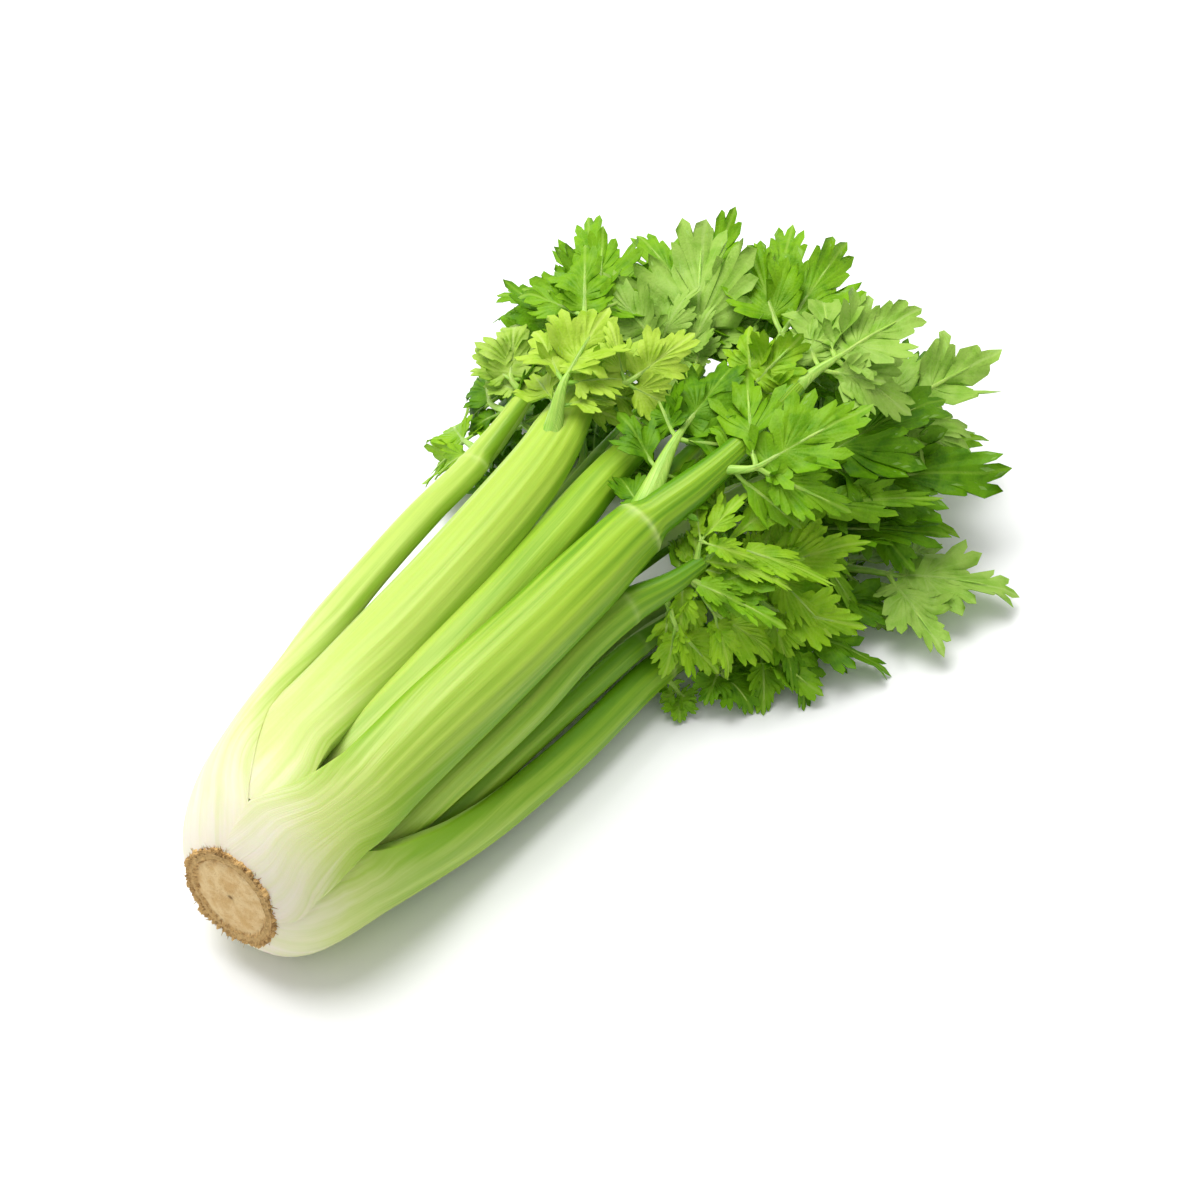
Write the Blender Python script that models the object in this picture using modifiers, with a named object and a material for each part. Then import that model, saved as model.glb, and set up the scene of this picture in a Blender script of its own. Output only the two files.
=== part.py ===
"""A head of celery lying on its side, as picked: a cut butt, fourteen stalks in three whorls, and their leaves.

Run it with  blender --background --python part.py , or from Blender's text editor. Metres, +Z up. The head lies
along X with its cut butt at -X and its leaves at +X. The surface that it lies on is z = 0, and the origin is the
middle of the whole head's footprint on that surface. Lengths in the tables are in millimetres.
"""

import math
from collections import namedtuple

import bmesh
import bpy
from mathutils import Vector

MM = 0.001

# ---- Driving dimensions, in millimetres -----------------------------------------------------------------------
BUTT_X = -205.0  # the cut face
BUTT_HEIGHT = 38.6  # the head's axis above the surface, at the butt
BUTT_SIDE = -1.2  # and its place across the head
AXIS_DRIFT = 0.03  # how far the bundle's axis moves to +Y for each millimetre along X
AXIS_RISE = 0.03
CENTRE_SHIFT = Vector((0.4, 3.9, 0.0))  # puts the footprint's middle on the origin

STALK_SPACING = 28.0  # between the sections of a stalk
SECTION_POINTS = 6  # on the outer side of a stalk's section, and as many on its inner side
CURL = 0.62  # radius of a stalk's hollow, as a share of its width
EDGE_THICKNESS = 0.32  # of a stalk's edge, as a share of its middle
KNEE_SWELL = 0.86  # width at the joint under the leaves, as a share of the stalk's own
CROWN_TAPER = (0.50, 0.34, 0.24)  # width above the joint, as shares of the stalk's own
CROWN_DEPTH = 0.85  # thickness above the joint, as a share of the width there
SECTION_TURN = (35.0, 90.0)  # past the butt, where sections turn from square to the head to square to the stalk

BLADE_THICKNESS = 1.3
LEAF_STEM_WIDTH = 3.2
LEAF_GAP = 2.2  # between a leaf's stem and the stalk it grows from
BLADE_CUP = 0.18  # how far a blade's sides rise, as a share of its width

# ---- How a stalk leaves the butt: distance past the cut face, radius from the axis, thickness -------------------
Whorl = namedtuple("Whorl", "keys shingle flare")
OUTER = Whorl(
    keys=((0.0, 19.2, 3.4), (8.0, 28.0, 4.8), (18.0, 33.6, 5.8), (32.0, 36.0, 6.4)),
    shingle=1.7, flare=(1.2, 1.05),
)
SECOND = Whorl(keys=((16.0, 23.0, 3.6), (26.0, 26.0, 5.0), (38.0, 27.4, 5.6)), shingle=1.0, flare=(1.0, 1.0))
HEART = Whorl(keys=((24.0, 14.5, 4.4), (38.0, 16.5, 5.6)), shingle=0.5, flare=(1.0, 1.0))

# ---- Leaves: how far up the crown each one springs (0 at the joint, 1 at the end), where its tip is, the width of
# ---- its blade, the way its face looks, how far its midrib arches, and the share of its length that is bare stem
Leaf = namedtuple("Leaf", "name along tip width face arch stem", defaults=((-0.3, -0.25, 0.9), 0.06, 0.3))
UP = (0.0, 0.0, 1.0)
TO_RIGHT = (-0.2, -0.8, 0.6)
TO_LEFT = (-0.2, 0.75, 0.65)
TO_BUTT = (-0.75, -0.25, 0.6)

# ---- Stalks: clock is where it sits round the butt in degrees, 0 at the top and positive towards +Y; route ends at
# ---- the joint, and crown goes on from there to the last leaf
Stalk = namedtuple("Stalk", "name whorl clock half_angle width thick route crown leaves")

STALKS = (
    Stalk(
        "stalk_left", OUTER, 55, 38, 22, 11,
        route=((-152, 40, 53), (-120, 46, 54), (-75, 56, 54), (-28, 63, 53), (10, 68, 49)),
        crown=((35, 70, 53), (62, 75, 57)),
        leaves=(
            Leaf("leaf_left_end", 1.0, (100, 112, 50), 36),
            Leaf("leaf_left_pale", 0.75, (74, 98, 66), 30, stem=0.2),
            Leaf("leaf_left_back", 0.5, (74, 112, 36), 30, face=TO_LEFT),
            Leaf("leaf_left_low", 0.2, (50, 114, 14), 26, face=TO_LEFT),
        ),
    ),
    Stalk(
        "stalk_top_left", SECOND, 25, 36, 30, 11,
        route=((-150, 16, 64), (-118, 18, 72), (-62, 21, 77), (-18, 25, 80), (15, 30, 82)),
        crown=((45, 38, 83), (76, 55, 78)),
        leaves=(
            Leaf("leaf_yellow_left", 0.1, (72, 45, 105), 38, face=TO_BUTT, stem=0.3),
            Leaf("leaf_yellow_right", 0.3, (86, 12, 101), 28, face=TO_BUTT, stem=0.4),
            Leaf("leaf_top_side", 0.8, (104, 84, 96), 32, stem=0.3),
            Leaf("leaf_top_end", 1.0, (126, 92, 82), 40, face=UP),
        ),
    ),
    Stalk(
        "stalk_top_middle", HEART, 0, 34, 20, 9,
        route=((-140, 2, 58), (-98, 2, 63), (-49, 4, 66), (-10, 6, 69), (25, 9, 71)),
        crown=((60, 9, 72), (92, 14, 76)),
        leaves=(
            Leaf("leaf_silver", 1.0, (146, 54, 102), 60, face=TO_BUTT, stem=0.15),
            Leaf("leaf_silver_side", 0.9, (98, 68, 94), 30, face=TO_BUTT, stem=0.3),
        ),
    ),
    Stalk(
        "stalk_front", OUTER, -33, 46, 29, 12,
        route=((-150, -17, 68), (-118, -20, 72), (-66, -22, 74), (-25, -22, 75), (8, -22, 75)),
        crown=((35, -28, 79), (65, -32, 85), (96, -33, 91)),
        leaves=(
            Leaf("leaf_front_end", 1.0, (158, -50, 100), 44),
            Leaf("leaf_front_right", 0.4, (104, -64, 92), 40, stem=0.25),
            Leaf("leaf_front_left", 0.05, (94, -4, 87), 26, stem=0.4),
        ),
    ),
    Stalk(
        "stalk_right_inner", SECOND, -74, 27, 20, 10,
        route=((-150, -28, 40), (-118, -32, 46), (-75, -34, 50), (-40, -32, 52), (-14, -34, 54)),
        crown=((4, -40, 56), (20, -44, 58)),
        leaves=(
            Leaf("leaf_right_narrow", 1.0, (80, -57, 71), 17, stem=0.2),
            Leaf("leaf_right_slim", 0.8, (50, -44, 74), 14, stem=0.3),
            Leaf("leaf_right_broad", 0.6, (53, -70, 49), 22, stem=0.2),
            Leaf("leaf_right_hang", 0.3, (7, -62, 16), 24, face=TO_RIGHT),
            Leaf("leaf_right_fold", 0.6, (30, -79, 15), 24, face=TO_RIGHT),
        ),
    ),
    Stalk(
        "stalk_right_lower", SECOND, -126, 19, 14, 10,
        route=((-150, -25, 23), (-118, -31, 24), (-80, -32, 25), (-43, -33, 26), (-8, -35, 28)),
        crown=((18, -42, 33), (38, -52, 40)),
        leaves=(
            Leaf("leaf_bright_upper", 1.0, (82, -83, 45), 28, stem=0.2),
            Leaf("leaf_bright_lower", 0.8, (60, -97, 22), 27, face=TO_RIGHT, stem=0.35),
        ),
    ),
    Stalk(
        "stalk_right", OUTER, -114, 34, 19, 12,
        route=((-158, -38, 21), (-132, -42, 18), (-100, -45, 16), (-60, -45, 15), (-2, -43, 15)),
        crown=((18, -50, 16), (36, -58, 16)),
        leaves=(
            Leaf("leaf_floor_small", 0.0, (-13, -60, 2), 16, face=UP, arch=0.0),
            Leaf("leaf_floor_near", 0.4, (10, -80, 2), 24, face=UP, arch=0.1),
            Leaf("leaf_floor_mid", 0.8, (32, -97, 2), 24, face=UP, arch=0.1),
            Leaf("leaf_floor_far", 1.0, (62, -112, 4), 30, face=UP, arch=0.06),
        ),
    ),
    Stalk(
        "stalk_heart_right", HEART, -75, 34, 16, 9,
        route=((-140, -11, 44), (-98, -11, 46), (-49, -11, 52), (-5, -12, 60), (32, -13, 70)),
        crown=((66, -12, 74), (100, -8, 80)),
        leaves=(
            Leaf("leaf_heart_drop", 0.75, (111, -24, 104), 22, face=TO_BUTT),
            Leaf("leaf_heart_tall", 1.0, (178, 30, 86), 34, stem=0.3),
            Leaf("leaf_heart_broad", 0.9, (172, -2, 98), 44, stem=0.35),
        ),
    ),
    Stalk(
        "stalk_back_left", SECOND, 96, 32, 20, 10,
        route=((-150, 29, 35), (-100, 40, 40), (-50, 44, 44), (0, 47, 47)),
        crown=((40, 52, 51), (80, 60, 56)),
        leaves=(
            Leaf("leaf_back_end", 1.0, (150, 120, 58), 34, stem=0.35),
            Leaf("leaf_back_dark", 0.85, (128, 98, 74), 34),
            Leaf("leaf_back_low", 0.4, (98, 106, 22), 38, face=TO_LEFT),
        ),
    ),
    Stalk(
        "stalk_bottom_left", OUTER, 126, 29, 22, 11,
        route=((-155, 27, 14), (-110, 34, 12), (-60, 38, 11), (-15, 40, 11), (10, 42, 11)),
        crown=((35, 47, 12), (62, 54, 12)),
        leaves=(
            Leaf("leaf_under_end", 1.0, (126, 100, 4), 40, face=UP),
            Leaf("leaf_under_left", 0.4, (72, 98, 2), 34, face=UP),
            Leaf("leaf_under_mid", 0.9, (138, 40, 10), 32, face=UP),
        ),
    ),
    Stalk(
        "stalk_bottom_right", OUTER, 183, 27, 24, 11,
        route=((-155, -6, 7), (-110, -12, 7), (-60, -15, 7), (-15, -15, 7), (15, -17, 8)),
        crown=((45, -28, 9), (75, -50, 11)),
        leaves=(
            Leaf("leaf_floor_pale", 1.0, (126, -130, 3), 40, face=UP, stem=0.45),
            Leaf("leaf_floor_dark", 0.6, (95, -110, 2), 26, face=UP, stem=0.4),
        ),
    ),
    Stalk(
        "stalk_bottom_middle", SECOND, 170, 34, 18, 9,
        route=((-140, 8, 20), (-100, 9, 21), (-50, 10, 22), (5, 8, 24)),
        crown=((45, 0, 27), (85, -14, 28)),
        leaves=(
            Leaf("leaf_far_broad", 1.0, (156, -102, 34), 50, stem=0.4),
            Leaf("leaf_far_side", 0.95, (186, -74, 16), 32, face=UP, stem=0.45),
            Leaf("leaf_floor_broad", 0.5, (120, -98, 20), 36, face=UP, stem=0.4),
            Leaf("leaf_far_floor", 0.7, (168, 10, 12), 42, face=UP),
        ),
    ),
    Stalk(
        "stalk_heart_left", HEART, 95, 30, 15, 9,
        route=((-140, 16, 42), (-98, 17, 46), (-49, 19, 49), (0, 21, 52), (40, 24, 56)),
        crown=((75, 28, 58), (105, 34, 62)),
        leaves=(
            Leaf("leaf_heart_curl", 1.0, (174, 58, 80), 36),
            Leaf("leaf_heart_side", 0.8, (140, 84, 44), 34),
        ),
    ),
    Stalk(
        "stalk_heart_low", HEART, 195, 30, 15, 8,
        route=((-140, -1, 30), (-98, -3, 32), (-49, -8, 36), (0, -12, 41), (40, -20, 46)),
        crown=((70, -30, 51), (100, -40, 53)),
        leaves=(
            Leaf("leaf_deep_green", 0.5, (152, -70, 66), 52, stem=0.35),
            Leaf("leaf_far_dark", 0.85, (204, -34, 28), 28, stem=0.5),
            Leaf("leaf_far_slim", 1.0, (196, -66, 52), 40, stem=0.5),
            Leaf("leaf_low_slim", 0.3, (122, -90, 40), 20, stem=0.3),
        ),
    ),
)

# ---- The butt that the stalks grow from: distance past the cut face and radius, from the face to its inner end ----
BUTT_PROFILE = ((0.0, 0.0), (0.0, 16.4), (7.0, 18.4), (14.0, 18.2), (22.0, 12.5), (29.0, 6.0), (32.0, 0.0))
BUTT_SIDES = 28

# ---- A blade's outline: angle from its midrib in degrees, and reach as a share of the blade's length ---------------
BLADE_SIDE = ((0, 1.0), (20, 0.72), (38, 0.92), (55, 0.58), (72, 0.52))
BLADE_ROWS = (0.5, 1.0)  # from the blade's base to its margin


def new_material(name, colour, roughness):
    made = bpy.data.materials.new(name)
    made.use_nodes = True
    surface = made.node_tree.nodes["Principled BSDF"]
    surface.inputs["Base Color"].default_value = (*colour, 1.0)
    surface.inputs["Roughness"].default_value = roughness
    surface.inputs["Metallic"].default_value = 0.0
    return made


def new_object(name, mesh, material, collection):
    made = bpy.data.objects.new(name, mesh)
    made.data.materials.append(material)
    collection.objects.link(made)
    return made


def axis_at(x):
    """The bundle's own axis, in millimetres."""
    past = x - BUTT_X
    return Vector((x, BUTT_SIDE + AXIS_DRIFT * past, BUTT_HEIGHT + AXIS_RISE * past))


def smooth(keys, spacing):
    """Rows of numbers on a smooth curve through keys. The first three numbers of a key are its place."""
    places = [Vector(key[:3]) for key in keys]
    spans = [(b - a).length for a, b in zip(places, places[1:])]
    slopes = []
    for i in range(len(keys)):
        low, high = max(i - 1, 0), min(i + 1, len(keys) - 1)
        run = sum(spans[low:high])
        slopes.append([(b - a) / run for a, b in zip(keys[low], keys[high])])
    rows = [list(keys[0])]
    for i, span in enumerate(spans):
        steps = max(1, round(span / spacing))
        for step in range(1, steps + 1):
            t = step / steps
            from_start, from_end = (1 + 2 * t) * (1 - t) ** 2, t * t * (3 - 2 * t)
            leaving, arriving = span * t * (1 - t) ** 2, -span * t * t * (1 - t)
            rows.append([
                from_start * a + from_end * b + leaving * da + arriving * db
                for a, b, da, db in zip(keys[i], keys[i + 1], slopes[i], slopes[i + 1])
            ])
    return rows


def stalk_keys(stalk):
    """Place, width, thickness, hollow radius and shingle of the stalk's sections, at the points that set its shape."""
    clock = math.radians(stalk.clock)
    keys = []
    for past, radius, thick in stalk.whorl.keys:
        centre = axis_at(BUTT_X + past)
        width = 2 * math.radians(stalk.half_angle) * radius
        y = centre.y + radius * math.sin(clock)
        z = centre.z + radius * math.cos(clock)
        keys.append((centre.x, y, z, width, thick, radius, stalk.whorl.shingle))
    flares = stalk.whorl.flare + (1.0,) * len(stalk.route)
    for place, flare in zip(stalk.route[:-1], flares):
        keys.append((*place, flare * stalk.width, stalk.thick, CURL * flare * stalk.width, 0.0))
    knee = KNEE_SWELL * stalk.width
    keys.append((*stalk.route[-1], knee, stalk.thick, CURL * stalk.width, 0.0))
    for place, share in zip(stalk.crown, CROWN_TAPER):
        width = max(share * stalk.width, 5.0)
        keys.append((*place, width, CROWN_DEPTH * width, stalk.width, 0.0))
    return keys


def crescent(width, thick, hollow, shingle):
    """A stalk's section: across it and outwards, in millimetres, going once round."""
    half_angle = 0.5 * width / hollow
    outer, inner = [], []
    for i in range(SECTION_POINTS):
        share = 2 * i / (SECTION_POINTS - 1) - 1
        angle = share * half_angle
        depth = thick * (EDGE_THICKNESS + (1 - EDGE_THICKNESS) * (1 - share * share)) / 2
        out = hollow * (math.cos(angle) - 1) + shingle * share
        across, lift = math.sin(angle), math.cos(angle)
        outer.append((hollow * across + depth * across, out + depth * lift))
        inner.append((hollow * across - depth * across, out - depth * lift))
    return outer + inner[::-1]


def stalk_rows(stalk):
    """(place, tangent, outward, width, thickness, hollow, shingle) along the stalk."""
    rows = smooth(stalk_keys(stalk), STALK_SPACING)
    places = [Vector(row[:3]) for row in rows]
    made = []
    outward = Vector((0, 0, 1))
    for i, row in enumerate(rows):
        tangent = (places[min(i + 1, len(rows) - 1)] - places[max(i - 1, 0)]).normalized()
        past = row[0] - BUTT_X
        turned = min(max((past - SECTION_TURN[0]) / (SECTION_TURN[1] - SECTION_TURN[0]), 0.0), 1.0)
        square_to = Vector((1, 0, 0)).lerp(tangent, turned).normalized()
        if row[0] <= stalk.route[-1][0]:
            outward = places[i] - axis_at(row[0])
        outward = (outward - outward.dot(square_to) * square_to).normalized()
        made.append((places[i], square_to, outward.copy(), *row[3:]))
    return made


def build_stalk(stalk, material, collection):
    """One stalk as a loft through its sections."""
    body = bmesh.new()
    rings = []
    for place, along, outward, width, thick, hollow, shingle in stalk_rows(stalk):
        side = along.cross(outward)
        rings.append([
            body.verts.new((place + u * side + v * outward + CENTRE_SHIFT) * MM)
            for u, v in crescent(width, thick, hollow, shingle)
        ])
    for here, there in zip(rings, rings[1:]):
        for i in range(len(here)):
            j = (i + 1) % len(here)
            body.faces.new((here[i], here[j], there[j], there[i]))
    for ring in (rings[0][::-1], rings[-1]):
        for i in range(SECTION_POINTS - 1):
            corners = (ring[i], ring[i + 1], ring[-2 - i], ring[-1 - i])
            body.faces.new(corners)
    bmesh.ops.recalc_face_normals(body, faces=body.faces)
    mesh = bpy.data.meshes.new(stalk.name)
    body.to_mesh(mesh)
    body.free()
    mesh.shade_smooth()
    mesh.set_sharp_from_angle(angle=math.radians(50))
    return new_object(stalk.name, mesh, material, collection)


def leaf_root(stalk, leaf):
    """Where the leaf's stem starts: beside the stalk's crown, on the side that its tip is on."""
    rows = stalk_rows(stalk)
    start = next(i for i, row in enumerate(rows) if row[0].x >= stalk.route[-1][0] - 1e-6)
    spot = start + leaf.along * (len(rows) - 1 - start)
    low = min(int(spot), len(rows) - 2)
    share = spot - low
    place = rows[low][0].lerp(rows[low + 1][0], share)
    along = (rows[low + 1][0] - rows[low][0]).normalized()
    if leaf.along >= 1.0:
        return place + LEAF_GAP * along
    width = rows[low][3] + share * (rows[low + 1][3] - rows[low][3])
    away = Vector(leaf.tip) - place
    away = (away - away.dot(along) * along).normalized()
    return place + (0.5 * width + LEAF_GAP) * away


def blade_columns():
    """(angle in radians, reach) across a blade, from one side to the other."""
    left = [(math.radians(angle), reach) for angle, reach in BLADE_SIDE]
    return [(-angle, reach) for angle, reach in left[:0:-1]] + left


def build_leaf(stalk, leaf, material, collection):
    """One leaf: a strip of stem that opens into a lobed blade, given its thickness by Solidify."""
    root, tip = leaf_root(stalk, leaf), Vector(leaf.tip)
    along = (tip - root).normalized()
    face = Vector(leaf.face)
    face = (face - face.dot(along) * along).normalized()
    side = face.cross(along)
    length = (tip - root).length
    blade = (1 - leaf.stem) * length
    columns = blade_columns()
    widest = max(reach * math.sin(angle) for angle, reach in columns)
    body = bmesh.new()

    def point(forward, across):
        share = forward / length
        lift = 4 * leaf.arch * length * share * (1 - share) + BLADE_CUP * leaf.width * (2 * across / leaf.width) ** 2
        return body.verts.new((root + forward * along + across * side + lift * face + CENTRE_SHIFT) * MM)

    grid = []
    for forward in (0.0, leaf.stem * length):
        spread = [i / (len(columns) - 1) - 0.5 for i in range(len(columns))]
        grid.append([point(forward, LEAF_STEM_WIDTH * share) for share in spread])
    for row in BLADE_ROWS:
        line = []
        for i, (angle, reach) in enumerate(columns):
            from_stem = LEAF_STEM_WIDTH * (i / (len(columns) - 1) - 0.5) * (1 - row)
            across = row * reach * math.sin(angle) / widest * leaf.width / 2
            line.append(point(leaf.stem * length + row * reach * math.cos(angle) * blade, across + from_stem))
        grid.append(line)
    for here, there in zip(grid, grid[1:]):
        for i in range(len(here) - 1):
            body.faces.new((here[i], there[i], there[i + 1], here[i + 1]))
    mesh = bpy.data.meshes.new(leaf.name)
    body.to_mesh(mesh)
    body.free()
    mesh.shade_smooth()
    made = new_object(leaf.name, mesh, material, collection)
    thicken = made.modifiers.new("thickness", "SOLIDIFY")
    thicken.thickness = BLADE_THICKNESS * MM
    thicken.offset = 0.0
    return made


def build_butt(material, collection):
    """The cut butt: a turned profile about the head's axis."""
    mesh = bpy.data.meshes.new("butt")
    points = [(radius * MM, 0.0, past * MM) for past, radius in BUTT_PROFILE[::-1]]
    mesh.from_pydata(points, [(i, i + 1) for i in range(len(points) - 1)], [])
    made = new_object("butt", mesh, material, collection)
    turn = made.modifiers.new("turn", "SCREW")
    turn.steps = turn.render_steps = BUTT_SIDES
    turn.use_merge_vertices = True
    turn.merge_threshold = 0.00005
    made.location = (axis_at(BUTT_X) + CENTRE_SHIFT) * MM
    made.rotation_euler = (0.0, math.radians(90), 0.0)
    return made


def main():
    for old in list(bpy.data.objects):
        bpy.data.objects.remove(old, do_unlink=True)
    head = bpy.data.collections.new("head_of_celery")
    bpy.context.scene.collection.children.link(head)
    butt = new_material("butt", (0.72, 0.52, 0.28), 0.8)
    stalk_skin = new_material("stalk", (0.55, 0.74, 0.22), 0.4)
    leaf_skin = new_material("leaf", (0.24, 0.50, 0.05), 0.5)
    build_butt(butt, head)
    for stalk in STALKS:
        build_stalk(stalk, stalk_skin, head)
        for leaf in stalk.leaves:
            build_leaf(stalk, leaf, leaf_skin, head)


main()
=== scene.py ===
# %% [markdown]
# # A head of celery
#
# A head of celery is one short stem, the butt, with a bunch of leaf stalks growing from it in whorls. Each
# stalk is a ribbed channel that wraps round the younger ones at the bottom, runs up to a joint, and
# branches there into stems with lobed leaves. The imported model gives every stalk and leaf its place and
# size. This script gives them their ribs, edges, teeth, veins and skins, and each piece it makes stands for
# one node of that model.

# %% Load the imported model
import math
import random
from collections import namedtuple

import bpy
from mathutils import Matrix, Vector, noise


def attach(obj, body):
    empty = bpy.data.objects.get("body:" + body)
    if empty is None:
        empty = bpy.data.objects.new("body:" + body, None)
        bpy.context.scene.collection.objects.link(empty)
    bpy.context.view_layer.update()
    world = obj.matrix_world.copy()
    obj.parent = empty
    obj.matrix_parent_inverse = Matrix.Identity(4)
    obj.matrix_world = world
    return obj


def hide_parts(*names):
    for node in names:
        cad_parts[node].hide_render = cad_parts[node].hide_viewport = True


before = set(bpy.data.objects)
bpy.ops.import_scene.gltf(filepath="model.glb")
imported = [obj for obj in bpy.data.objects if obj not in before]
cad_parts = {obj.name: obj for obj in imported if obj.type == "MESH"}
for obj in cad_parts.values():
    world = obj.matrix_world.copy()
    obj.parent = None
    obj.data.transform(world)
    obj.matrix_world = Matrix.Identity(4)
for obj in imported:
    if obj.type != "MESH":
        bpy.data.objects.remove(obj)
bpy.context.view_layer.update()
MM = 0.001

# %% [markdown]
# ## Camera and light
#
# Food is shown on a white table with light from all round and one large soft lamp, so that the shade under
# it stays pale. Several lamps could fill the shade too, but a white world does it with no second shadow.
# The camera looks down from the side of the butt. One large area lamp, high on the head's left, gives the
# soft shadow. The standard view keeps the whites white.

# %% Camera
LOOK_AT = Vector((-0.0112, -0.0138, 0.045))
AZIMUTH, ELEVATION = math.radians(-51), math.radians(48)
DISTANCE = 1.123
LENS, SENSOR_WIDTH = 85, 36  # millimetres
back = Vector((
    math.sin(AZIMUTH) * math.cos(ELEVATION),
    -math.cos(AZIMUTH) * math.cos(ELEVATION),
    math.sin(ELEVATION),
))
camera = bpy.data.objects.new("camera", bpy.data.cameras.new("camera"))
camera.data.lens, camera.data.sensor_width = LENS, SENSOR_WIDTH
camera.location = LOOK_AT + DISTANCE * back
camera.rotation_euler = back.to_track_quat("Z", "Y").to_euler()
scene = bpy.context.scene
scene.collection.objects.link(camera)
scene.camera = camera
scene.view_settings.view_transform = "Standard"
print("camera at", [round(part, 3) for part in camera.location])

# %% World and lamp
WORLD_LIGHT = 0.6
LAMP_PLACE, LAMP_AIM = Vector((0.1, 0.6, 1.6)), Vector((0.0, 0.0, 0.05))
LAMP_SIZE, LAMP_WATTS = 1.5, 36
world = bpy.data.worlds.new("white_room")
world.use_nodes = True
background = world.node_tree.nodes["Background"]
background.inputs["Color"].default_value = (1.0, 1.0, 1.0, 1.0)
background.inputs["Strength"].default_value = WORLD_LIGHT
scene.world = world
lamp = bpy.data.objects.new("key_lamp", bpy.data.lights.new("key_lamp", "AREA"))
lamp.data.shape, lamp.data.size, lamp.data.energy = "DISK", LAMP_SIZE, LAMP_WATTS
lamp.location = LAMP_PLACE
lamp.rotation_euler = (LAMP_PLACE - LAMP_AIM).to_track_quat("Z", "Y").to_euler()
scene.collection.objects.link(lamp)
print("lamp", round((LAMP_PLACE - LAMP_AIM).length, 2), "metres from the head")

# %% [markdown]
# ## Shader maths in Python
#
# A skin is a recipe: noise, masks and mixes of colours. Written as node links it is hard to read, so one
# small class wraps an output socket and gives it Python's operators. Everything else comes from one method
# that adds any node.


# %% Wires and recipes
class Wire:
    """An output socket that can be added, multiplied and so on."""

    def __init__(self, recipe, socket):
        self.recipe, self.socket = recipe, socket

    def maths(self, operation, first, second):
        return self.recipe.add("ShaderNodeMath", {"operation": operation}, {0: first, 1: second})

    def __add__(self, other):
        return self.maths("ADD", self, other)

    def __sub__(self, other):
        return self.maths("SUBTRACT", self, other)

    def __rsub__(self, other):
        return self.maths("SUBTRACT", other, self)

    def __mul__(self, other):
        return self.maths("MULTIPLY", self, other)

    def __truediv__(self, other):
        return self.maths("DIVIDE", self, other)

    __radd__, __rmul__ = __add__, __mul__


class Recipe:
    """A material and the nodes that make it."""

    def __init__(self, name):
        self.material = bpy.data.materials.new(name)
        self.material.use_nodes = True
        self.tree = self.material.node_tree
        self.surface = self.tree.nodes["Principled BSDF"]
        self.output = self.tree.nodes["Material Output"]

    def add(self, kind, settings=None, inputs=None, output=0):
        node = self.tree.nodes.new(kind)
        for name, setting in (settings or {}).items():
            if name == "stops":
                self.set_stops(node.color_ramp, setting)
            else:
                setattr(node, name, setting)
        for name, value in (inputs or {}).items():
            self.feed(node.inputs[name], value)
        return Wire(self, node.outputs[output])

    def set_stops(self, ramp, stops):
        while len(ramp.elements) < len(stops):
            ramp.elements.new(1.0)
        for element, (place, colour) in zip(ramp.elements, stops):
            element.position, element.color = place, colour

    def feed(self, socket, value):
        if isinstance(value, Wire):
            self.tree.links.new(value.socket, socket)
        else:
            socket.default_value = value

    def attribute(self, name, output="Fac"):
        return self.add("ShaderNodeAttribute", {"attribute_name": name}, output=output)

    def blend(self, share, first, second):
        """From the first colour to the second. A mix has its colour sockets after its other ones."""
        return self.add("ShaderNodeMix", {"data_type": "RGBA"}, {0: share, 6: first, 7: second}, output=2)

    def stretch(self, vector, factors):
        return self.add("ShaderNodeVectorMath", {"operation": "MULTIPLY"}, {0: vector, 1: factors})

    def noise(self, vector, scale, detail=3.0, distortion=0.0):
        return self.add(
            "ShaderNodeTexNoise", {},
            {"Vector": vector, "Scale": scale, "Detail": detail, "Distortion": distortion},
        )

    def ease(self, value, low, high):
        """0 below low, 1 above high and a smooth step between."""
        return self.add(
            "ShaderNodeMapRange", {"interpolation_type": "SMOOTHSTEP"},
            {"Value": value, "From Min": low, "From Max": high},
        )

    def bump(self, height, depth, strength):
        return self.add("ShaderNodeBump", {}, {"Height": height, "Distance": depth, "Strength": strength})

    def skin(self, **sockets):
        for name, value in sockets.items():
            self.feed(self.surface.inputs[name.replace("_", " ")], value)


def paint(red, green, blue):
    """A colour as a painter's chart gives it, from 0 to 255, as the light that it sends back."""
    parts = [part / 255 for part in (red, green, blue)]
    # The standard curve from chart values to light: straight near black, and a power above
    return (*(part / 12.92 if part <= 0.04045 else ((part + 0.055) / 1.055) ** 2.4 for part in parts), 1.0)


print("mid grey as light:", [round(part, 3) for part in paint(128, 128, 128)])

# %% [markdown]
# ## The floor
#
# The table is a sheet of matt white board. A plain colour would do, but even white board has a grain, so a
# faint noise carries it between two whites.

# %% White board
FLOOR_SIDE = 8.0
GRAIN = 60.0
board = Recipe("white_board")
grain = board.noise(board.add("ShaderNodeTexCoord", output="Object"), GRAIN)
board.skin(Base_Color=board.blend(grain, (0.93, 0.93, 0.93, 1.0), (0.95, 0.95, 0.95, 1.0)), Roughness=0.9)
board.surface.inputs["Specular IOR Level"].default_value = 0.1
floor_mesh = bpy.data.meshes.new("floor")
half_side = FLOOR_SIDE / 2
corners = [(half_side * x, half_side * y, 0) for x, y in ((-1, -1), (1, -1), (1, 1), (-1, 1))]
floor_mesh.from_pydata(corners, [], [(0, 1, 2, 3)])
floor_mesh.materials.append(board.material)
floor = bpy.data.objects.new("floor", floor_mesh)
scene.collection.objects.link(floor)
print("floor side in metres:", FLOOR_SIDE)

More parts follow.
